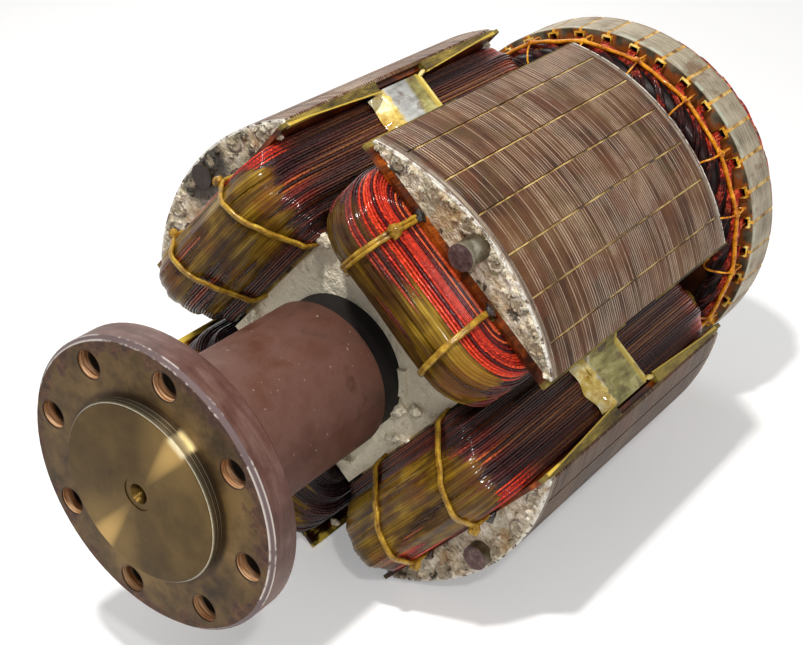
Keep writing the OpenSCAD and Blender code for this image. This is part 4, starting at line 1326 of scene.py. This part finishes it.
def support_finish():
    f = Finish("support_plate")
    x, y, z, spot = f.place()
    cloud = f.noise(spot, 0.035, 4.0, 0.6)
    drag = f.noise(f.point(x * 0.5, y * 0.12, z * 0.5), 0.35, 3.0, 0.6)
    tone = cloud * 0.5 + drag * 0.5
    grey = f.ramp(tone, (0.38, (0.22, 0.215, 0.19)), (0.5, (0.42, 0.42, 0.4)),
                  (0.6, (0.6, 0.6, 0.57)))
    olive = f.ramp(tone, (0.38, (0.11, 0.088, 0.02)), (0.5, (0.3, 0.26, 0.075)),
                   (0.6, (0.52, 0.47, 0.19)))
    gap_right = (x - z).smooth(-20.0, 40.0)
    middle = (SUPPORT_FRONT + SUPPORT_BACK) / 2.0
    rear = (y + cloud * 16.0 - 8.0).smooth(middle + 4.0, middle + 8.0)
    stained = gap_right.math("MAXIMUM", rear)
    colour = f.mix(stained, grey, olive)
    rust = f.noise(spot, 0.06, 4.0, 0.65).smooth(0.54, 0.64) * 0.6
    colour = f.mix(rust, colour, (0.15, 0.07, 0.036))
    front = (y - SUPPORT_FRONT).fall(1.0, 5.0)
    back = (y - SUPPORT_BACK).smooth(-5.0, -1.5)
    colour = f.mix(front * cloud.smooth(0.4, 0.5), colour, (0.64, 0.58, 0.44))
    colour = f.mix(back * 0.9, colour, (0.6, 0.43, 0.05))
    return f.set(colour, 0.4, f.bump(drag + cloud, 0.5, 0.0014), coat=(0.35, 0.03, 1.35),
                 Metallic=0.3 - stained * 0.2, Specular_IOR_Level=0.25)


def sheet_finish():
    f = Finish("yellow_sheet")
    *_, spot = f.place()
    cloud = f.noise(spot, 0.06, 4.0, 0.6)
    colour = f.ramp(cloud, (0.34, (0.3, 0.19, 0.02)), (0.48, (0.68, 0.5, 0.06)),
                    (0.64, (0.86, 0.72, 0.18)))
    return f.set(colour, 0.22, f.bump(cloud, 0.4, 0.0012), coat=(0.7, 0.06, 1.5))


dress_each("coil_support", support_finish())
dress_each("support_sheet", sheet_finish())
dress("support_bolts", bolt_finish("support_bolts"))

resin_lump_material = resin_finish("cream_resin", (0.52, 0.3, 0.03), (0.82, 0.62, 0.16),
                                   (0.96, 0.9, 0.66))
SHEET_LOW = 96.4
# How far along the shaft from the support's front edge, and how thick over the sheet
BANK = [(-13.0, -0.4), (-12.0, 0.9), (-9.5, 2.6), (-7.0, 4.9), (-4.0, 7.4), (-1.0, 8.9),
        (1.2, 8.6), (3.0, 7.2), (4.6, 5.0)]
BANK_STEPS = 27
BANK_STEP = 2.0
# Where the resin along the two collars' lips starts, and where it tapers off
LIPS = [(104.0, 157.2, 106.5, 162.0), (157.2, 104.0, 162.0, 106.5)]
masses = Shape()
for number, _, stand in poles():
    begin = len(masses.points)
    line = [(SHEET_LOW, 157.0 - BANK_STEP * i, 1.0, 0.0) for i in range(BANK_STEPS)]
    line += [(SHEET_LOW, 102.0, 0.95, 0.3), (SHEET_LOW, SHEET_LOW + 2.0, 0.75, 0.75),
             (SHEET_LOW + 2.0, SHEET_LOW, 0.75, 0.75), (102.0, SHEET_LOW, 0.3, 0.95)]
    line += [(105.0 + BANK_STEP * i, SHEET_LOW, 0.0, 1.0) for i in range(BANK_STEPS)]
    rows = []
    for u, w, du, dw in line:
        row = []
        for along, thick in BANK:
            spot = Vector((u * 0.16 + number * 5.0, along * 0.16, w * 0.16))
            uneven = noise.noise(spot) + 0.5 * noise.noise(spot * 2.6)
            thick = thick * (1.0 + 0.3 * uneven) + (0.5 * uneven if thick > 0 else 0.0)
            stretch = 1.0 + 0.35 * noise.noise(Vector((u * 0.07, number, w * 0.07)))
            y = SUPPORT_FRONT + along * stretch
            row.append((u + du * thick, y, w + dw * thick))
        rows.append(row)
    masses.grid(rows)
    for k, (u, w, tip_u, tip_w) in enumerate(LIPS):
        for near, far in ((SUPPORT_FRONT - 3.0, SUPPORT_FRONT - 26.0),
                          (SUPPORT_BACK + 3.0, SUPPORT_BACK + 20.0)):
            masses.lump([(u, near, w), (tip_u, far, tip_w)], [3.0, 1.1],
                        number * 13 + k + min(near, far), 0.2, rings=12)
    masses.turn(stand, begin)
piece("support_resin", masses.mesh(), resin_lump_material, "insulating_sheet")

# ---------------------------------------------------------------------------
# Packing on the end plates.
# Torn bits of cream packing and spilt resin stick to the hub part of the drive
# end's plate. Two lumps stand on each pole of the rear plate.
# ---------------------------------------------------------------------------
packing = Shape()
hub_face = PLATES_START - 1.5


def beside_pole(x, z, y):
    """A place given across and along the first pole's radius."""
    return Vector((DIAGONAL * (x + z), y, DIAGONAL * (z - x)))


# each lump's two ends, across and along the first pole's radius, and its thickness
for k, (x1, z1, x2, z2, size) in enumerate((
        (-98, 52, -88, 62, 4.5), (-88, 66, -80, 72, 6.0), (-80, 62, -74, 76, 4.6),
        (-96, 66, -90, 72, 3.2), (54, 17, 61, 24, 5.2), (57, 24, 62, 30, 3.6),
        (70, -8, 76, 4, 3.4), (-70, -56, -78, -46, 4.4), (-62, 72, -57, 77, 3.0),
        (-104, 40, -99, 50, 3.4), (-74, 80, -66, 84, 3.6), (64, 34, 70, 42, 4.2),
        (60, -70, 68, -62, 4.0), (-30, -84, -22, -88, 4.6), (84, 8, 90, 14, 4.2),
        (88, -14, 92, -6, 3.6), (100, -128, 104, -120, 3.4))):
    packing.lump([beside_pole(x1, z1, hub_face), beside_pole(x2, z2, hub_face - 3.0)],
                 [size, size * 0.8], k + 3, 0.45, sides=14, rings=12, flat=(1.0, 0.8, 1.0))
for number, angle, _ in poles():
    for k, lean in enumerate((-0.204, 0.227)):
        a = angle + lean + 0.03 * (number - 1) * (-1) ** k
        level = 194.5 - 0.8 * k
        packing.lump([round_shaft(level, a, PLATES_END + 1.0),
                      round_shaft(level, a + 0.012, PLATES_END + 6.5)],
                     [3.6, 2.6], number * 17 + k, 0.4, sides=12, rings=8)
piece("torn_packing", packing.mesh(), plate_material, "brazed_plate")

# ---------------------------------------------------------------------------
# Exciter hub, teeth, slot strips and liners.
# A pressed ring of thin sheets with 36 slots on a cast hub. A folded orange
# sheet lines every slot, and a tan strip closes its mouth.
# ---------------------------------------------------------------------------
EXCITER_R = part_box("exciter_teeth")[1].x * IN_MM
SLOT_TOP = 170.0
TEETH_START, TEETH_END = extent("exciter_teeth")
SLOTS = 36
SLOT_PITCH = 2.0 * math.pi / SLOTS
SLOT_TURN = math.radians(45.0)


def teeth_finish():
    f = Finish("exciter_sheets")
    x, y, z, spot = f.place()
    radius = length(x, z)
    sheet = f.noise(f.point(0.0, y / 0.9, 0.0), 1.0, 1.0, 0.6)
    broken = f.noise(f.point(x * 0.05, y / 1.3, z * 0.05), 1.0, 2.0, 0.6)
    cloud = f.noise(spot, 0.035, 4.0, 0.6)
    tooth = f.noise(f.point(x * 0.045, 3.0, z * 0.045), 1.0, 2.0, 0.6)
    tone = sheet * 0.36 + broken * 0.3 + cloud * 0.16 + tooth * 0.18
    top = f.ramp(tone, (0.38, (0.09, 0.068, 0.038)), (0.46, (0.26, 0.214, 0.142)),
                 (0.55, (0.49, 0.42, 0.31)))
    drip_noise = f.noise(f.point(x, y, z + 17.0), 0.06, 3.0, 0.6).smooth(0.42, 0.54)
    stain = f.noise(f.point(x, y * 0.6, z + 44.0), 0.045, 4.0, 0.65).smooth(0.53, 0.64)
    top = f.mix(stain * 0.65, top, (0.17, 0.082, 0.036))
    pale_edge = y.peak(TEETH_START + 2.5, 5.0) * drip_noise
    top = f.mix(pale_edge * 0.6, top, (0.6, 0.64, 0.52))
    rim_line = y.peak(TEETH_END, 4.0) * drip_noise
    top = f.mix(rim_line * 0.8, top, (0.2, 0.06, 0.02))
    ends = (radius - EXCITER_R + 0.6).fall(-0.4, 0.0)
    dark_end = f.ramp(cloud * 0.6 + broken * 0.4, (0.38, (0.022, 0.017, 0.011)),
                      (0.5, (0.075, 0.064, 0.04)), (0.62, (0.19, 0.17, 0.115)))
    slot = ((x.math("ARCTAN2", z) - SLOT_TURN) / SLOT_PITCH + (SLOTS + 0.5)).math("FRACT") - 0.5
    beside = slot.math("ABSOLUTE").fall(0.2, 0.34)
    drip = f.noise(spot, 0.1, 3.0, 0.6).smooth(0.44, 0.56)
    dark_end = f.mix(beside * drip * 0.9, dark_end, (0.38, 0.105, 0.012))
    low = (radius + drip * 5.0 - 169.0).fall(-5.0, 3.0)
    dark_end = f.mix(low * 0.85, dark_end, (0.33, 0.075, 0.008))
    varnish = (radius - 160.0).fall(-6.0, 2.0)
    dark_end = f.mix(varnish * 0.9, dark_end, (0.035, 0.008, 0.004))
    # painted shade: the teeth are painted near black inside the slots
    inner = (radius - SLOT_TOP).fall(-1.0, 0.5) * (y - TEETH_START).smooth(0.5, 2.0)
    inner = inner * (y - TEETH_END).fall(-2.0, -0.5)
    colour = f.mix(inner * 0.9, f.mix(ends, top, dark_end), (0.02, 0.008, 0.004))
    return f.set(colour, 0.42 + broken * 0.15, f.bump(tone, 0.6, 0.001), Metallic=0.25,
                 Specular_IOR_Level=0.2)


def strip_finish():
    f = Finish("slot_strip")
    _, y, _, spot = f.place()
    cloud = f.noise(spot, 0.07, 4.0, 0.65)
    colour = f.ramp(cloud, (0.38, (0.16, 0.07, 0.016)), (0.49, (0.43, 0.24, 0.06)),
                    (0.6, (0.7, 0.48, 0.18)))
    ends = y.peak(TEETH_START, 7.0).math("MAXIMUM", y.peak(TEETH_END, 6.0))
    colour = f.mix(ends * 0.8, colour, (0.76, 0.4, 0.05))
    return f.set(colour, 0.5, f.bump(cloud, 0.4, 0.0008), Specular_IOR_Level=0.2)


def liner_finish():
    """Folded sheet, golden where it closes the slot and brown down the slot's sides."""
    f = Finish("liner_sheet")
    x, _, z, spot = f.place()
    radius = length(x, z)
    cloud = f.noise(spot, 0.08, 4.0, 0.65)
    sides = f.ramp(cloud, (0.38, (0.06, 0.014, 0.003)), (0.5, (0.24, 0.07, 0.009)),
                   (0.62, (0.52, 0.22, 0.035)))
    mouth = f.ramp(cloud, (0.38, (0.42, 0.17, 0.014)), (0.48, (0.8, 0.46, 0.045)),
                   (0.6, (0.93, 0.74, 0.24)))
    colour = f.mix((radius - SLOT_TOP + 4.5).smooth(0.0, 2.5), sides, mouth)
    return f.set(colour, 0.34, f.bump(cloud, 0.5, 0.001), coat=(0.4, 0.08, 1.35),
                 Specular_IOR_Level=0.12)


dress("exciter_teeth", teeth_finish())
dress("exciter_wedges", strip_finish())
dress("exciter_liners", liner_finish())
hub_material = board_finish("cast_hub", (0.012, 0.009, 0.008), (0.04, 0.026, 0.02),
                            (0.09, 0.062, 0.048), 0.25)
dress("exciter_hub", hub_material)
dress("exciter_rim", hub_material)

# ---------------------------------------------------------------------------
# Exciter winding.
# Each slot's bundle of thin enamelled wires leaves the slot, leans over to one
# side and dives back about four slots on. The ends are flooded with dark varnish.
# ---------------------------------------------------------------------------
def exciter_wire_finish():
    f = Finish("exciter_wire")
    x, y, z, spot = f.place()
    radius = length(x, z)
    along = f.attribute("along", 2) * IN_MM
    tone = f.noise(f.point(x * 0.12, y * 0.12, z * 0.12), 1.0, 3.0, 0.6)
    own = f.noise(f.point(x * 0.5, along * 0.01, z * 0.5), 1.0, 1.0, 0.5)
    colour = f.ramp(tone * 0.5 + own * 0.5, (0.38, (0.03, 0.004, 0.004)),
                    (0.46, (0.18, 0.009, 0.006)), (0.55, (0.52, 0.034, 0.014)),
                    (0.65, (0.72, 0.18, 0.07)))
    middle = (TEETH_START + TEETH_END) / 2
    beyond = (y - middle).math("ABSOLUTE") - (TEETH_END - TEETH_START) / 2
    black = beyond.smooth(19.0, 26.0).math("MAXIMUM", (radius - 155.0).fall(-7.0, 3.0))
    patch = f.noise(spot, 0.04, 3.0, 0.6).smooth(0.5, 0.68)
    colour = f.mix(black * (1.0 - patch * 0.5) * 0.95, colour, (0.008, 0.005, 0.005))
    return f.set(colour, 0.34, f.bump(f.noise(spot, 0.5, 2.0, 0.6), 0.55, 0.0014),
                 coat=(0.4, 0.1, 1.33), Specular_IOR_Level=0.05)


STRANDS = 12
PER_LAYER = 4
STRAND_STEP = 2.0
BUNDLE_R = 160.0
exciter_wire_material = exciter_wire_finish()
for end, sign, edge, *stands_for in (("front", -1.0, TEETH_START, "exciter_winding"),
                                     ("rear", 1.0, TEETH_END)):
    paths = []
    for slot in range(SLOTS):
        base = SLOT_TURN + slot * SLOT_PITCH
        for strand in range(STRANDS):
            seed = Vector((slot * 1.7, strand * 2.3, sign * 4.0))
            a = noise.noise(seed) * 0.6
            b = noise.noise(seed + Vector((5.0, 0.0, 9.0)))
            layer = strand // PER_LAYER
            across = (strand % PER_LAYER - 1.5) * STRAND_STEP / BUNDLE_R
            deep = 162.8 - layer * 2.5
            low = 150.5 - layer * 1.6
            over = -sign * (3.6 + 0.25 * b) * SLOT_PITCH
            far = 27.0 + 4.5 * a + 1.6 * layer
            # the share of the way across, the radius, and how far out of the teeth
            steps = [(0.0, deep, -3.0), (0.0, deep + 0.3, 6.5), (0.035, deep + 1.0, 11.5),
                     (0.15, 163.6 - layer * 1.3 + b, 15.5), (0.38, 161.0 - layer * 0.8 + b, 22.5),
                     (0.52, 155.0 + b, far), (0.6, 148.5 + b, far + 0.5),
                     (0.72, 143.5, 22.0), (0.9, 143.0, 13.0), (0.98, low - 2.0, 8.0),
                     (1.0, low, 2.0)]
            path = []
            for share, radius, out in steps:
                wave = 0.6 * noise.noise(seed + Vector((share * 4.0, 0.0, 0.0)))
                path.append(round_shaft(radius + wave, base + across + over * share,
                                        edge + sign * out))
            paths.append((path, 1.0, False))
    mesh = cord_recipe.run(chains(paths), Thickness=2.2 * MM, Step=6.5 * MM, Sides=5,
                           Wander=1.2 * MM, Uneven=0.15, Seed=3.0 + sign,
                           Material=exciter_wire_material)
    piece(f"exciter_wires_{end}", mesh, exciter_wire_material, "enamelled_wire", *stands_for)

CORE_STEPS = 180
# Radius and distance out of the teeth of the varnish inside the end turns
CORE_SECTION = [(158.5, 11.0), (156.5, 17.0), (152.5, 22.0), (149.0, 25.5), (145.5, 25.5),
                (144.0, 22.0), (144.5, 12.0)]
# Radius of the varnish in each slot's ends, and its width across the slot
PLUG_SECTION = [(163.5, -3.6), (163.5, 3.6), (148.0, 3.6), (148.0, -3.6)]
cores = Shape()
for sign, edge in ((-1.0, TEETH_START), (1.0, TEETH_END)):
    rows = []
    for i in range(CORE_STEPS):
        a = 2.0 * math.pi * i / CORE_STEPS
        row = []
        for radius, out in CORE_SECTION:
            bump = noise.noise(Vector((math.sin(a) * 9.0, out * 0.12, math.cos(a) * 9.0)))
            row.append(round_shaft(radius + 1.3 * bump, a, edge + sign * (out + bump)))
        rows.append(row)
    cores.grid(rows, ring=True, loop=True)
for slot in range(SLOTS):
    way, side = compass(SLOT_TURN + slot * SLOT_PITCH)
    rows = []
    for y in (TEETH_START - 3.0, TEETH_START + 6.0, TEETH_END - 6.0, TEETH_END + 3.0):
        rows.append([way * radius + side * across + Vector((0.0, y, 0.0))
                     for radius, across in PLUG_SECTION])
    cores.grid(rows, ring=True, caps=True)
piece("exciter_winding_core", cores.mesh(), board_finish(
    "black_varnish", (0.005, 0.003, 0.003), (0.012, 0.005, 0.005), (0.036, 0.008, 0.006), 0.15),
    "enamelled_wire")

# ---------------------------------------------------------------------------
# Exciter lacing.
# One orange cord runs round each ring of end turns. A tie at every second slot
# holds it down, wraps right round the end turns and is knotted on the cord.
# ---------------------------------------------------------------------------
lacing_material = cord_finish("orange_lacing", (0.22, 0.05, 0.002), (0.64, 0.215, 0.005),
                              (0.9, 0.45, 0.025))
RING_OUT = 20.5
RING_R = 166.4
RING_STEPS = 3 * SLOTS
TIES = SLOTS // 2
TIE_FIRST = 1.5
KNOT_R = 167.2
# Each end's way along the shaft, its edge, and how much lower its ring lies
LACED_ENDS = [(-1.0, TEETH_START, 0.0), (1.0, TEETH_END, 7.0)]
TIE_SECTION = [(167.6, 3.5), (168.0, 9.0), (167.4, 15.0), (166.6, RING_OUT), (162.2, 27.5),
               (154.0, 33.2), (146.0, 33.6), (140.6, 27.0), (139.6, 17.0), (141.2, 9.6),
               (150.0, 7.8), (160.0, 6.4)]
paths = []
tie_knots = Shape()
for sign, edge, drop in LACED_ENDS:
    ring = []
    for i in range(RING_STEPS):
        a = SLOT_TURN + SLOT_PITCH * (i / 3.0 + TIE_FIRST)
        sag = 1.0 - abs(i % 6 - 3.0) / 3.0
        wave = noise.noise(Vector((i * 0.37, sign * 3.0, 0.0)))
        ring.append(round_shaft(RING_R - drop - 2.0 * sag + 0.4 * wave, a,
                                edge + sign * (RING_OUT + 1.0 * wave - 0.8 * sag)))
    paths.append((ring, 1.0, True))
    for tie in range(TIES):
        a = SLOT_TURN + SLOT_PITCH * (2 * tie + TIE_FIRST)
        loop = []
        for k, (radius, out) in enumerate(TIE_SECTION):
            wave = noise.noise(Vector((tie * 1.9, k * 0.7, sign * 2.0)))
            outer = drop if radius > 160.0 else 0.0
            loop.append(round_shaft(radius - outer + 0.4 * wave, a + 0.012 * wave,
                                    edge + sign * out))
        paths.append((loop, 0.5, True))
        top = KNOT_R - drop
        tie_knots.lump([round_shaft(top - 1.0, a - 0.018, edge + sign * (RING_OUT + 1.4)),
                        round_shaft(top, a, edge + sign * RING_OUT),
                        round_shaft(top - 0.8, a + 0.018, edge + sign * (RING_OUT - 1.2))],
                       [2.4, 3.0, 2.2], tie + 40 * sign, 0.3, rings=8)
mesh = cord_recipe.run(chains(paths), Thickness=4.0 * MM, Step=3.0 * MM, Sides=8,
                       Wander=0.9 * MM, Uneven=0.6, Seed=8.0, Material=lacing_material)
piece("lacing_cords", mesh, lacing_material, "lacing_cord", "exciter_lacing")
piece("lacing_knots", tie_knots.mesh(), lacing_material, "lacing_cord")

# ---------------------------------------------------------------------------
# Varnish on the exciter's rear edge.
# Dark varnish has run along the teeth and has set in small beads all round their
# rear edge.
# ---------------------------------------------------------------------------
FRINGE_LUMPS = 88
fringe = Shape()
for k in range(FRINGE_LUMPS):
    a = 2.0 * math.pi * (k + 0.5 * noise.noise(Vector((k * 0.9, 2.0, 0.0)))) / FRINGE_LUMPS
    thick = 1.5 + 1.6 * abs(noise.noise(Vector((k * 1.3, 7.0, 4.0))))
    level = EXCITER_R - 1.0 - thick * 1.6
    fringe.lump([round_shaft(level, a - 0.02, TEETH_END + 1.2),
                 round_shaft(level - 1.0, a + 0.022, TEETH_END + 2.6)],
                [thick, thick * 0.8], k, 0.35, sides=9, rings=6)
piece("rear_varnish", fringe.mesh(), board_finish(
    "rim_varnish", (0.03, 0.008, 0.004), (0.11, 0.03, 0.01), (0.48, 0.2, 0.04)),
    "enamelled_wire")
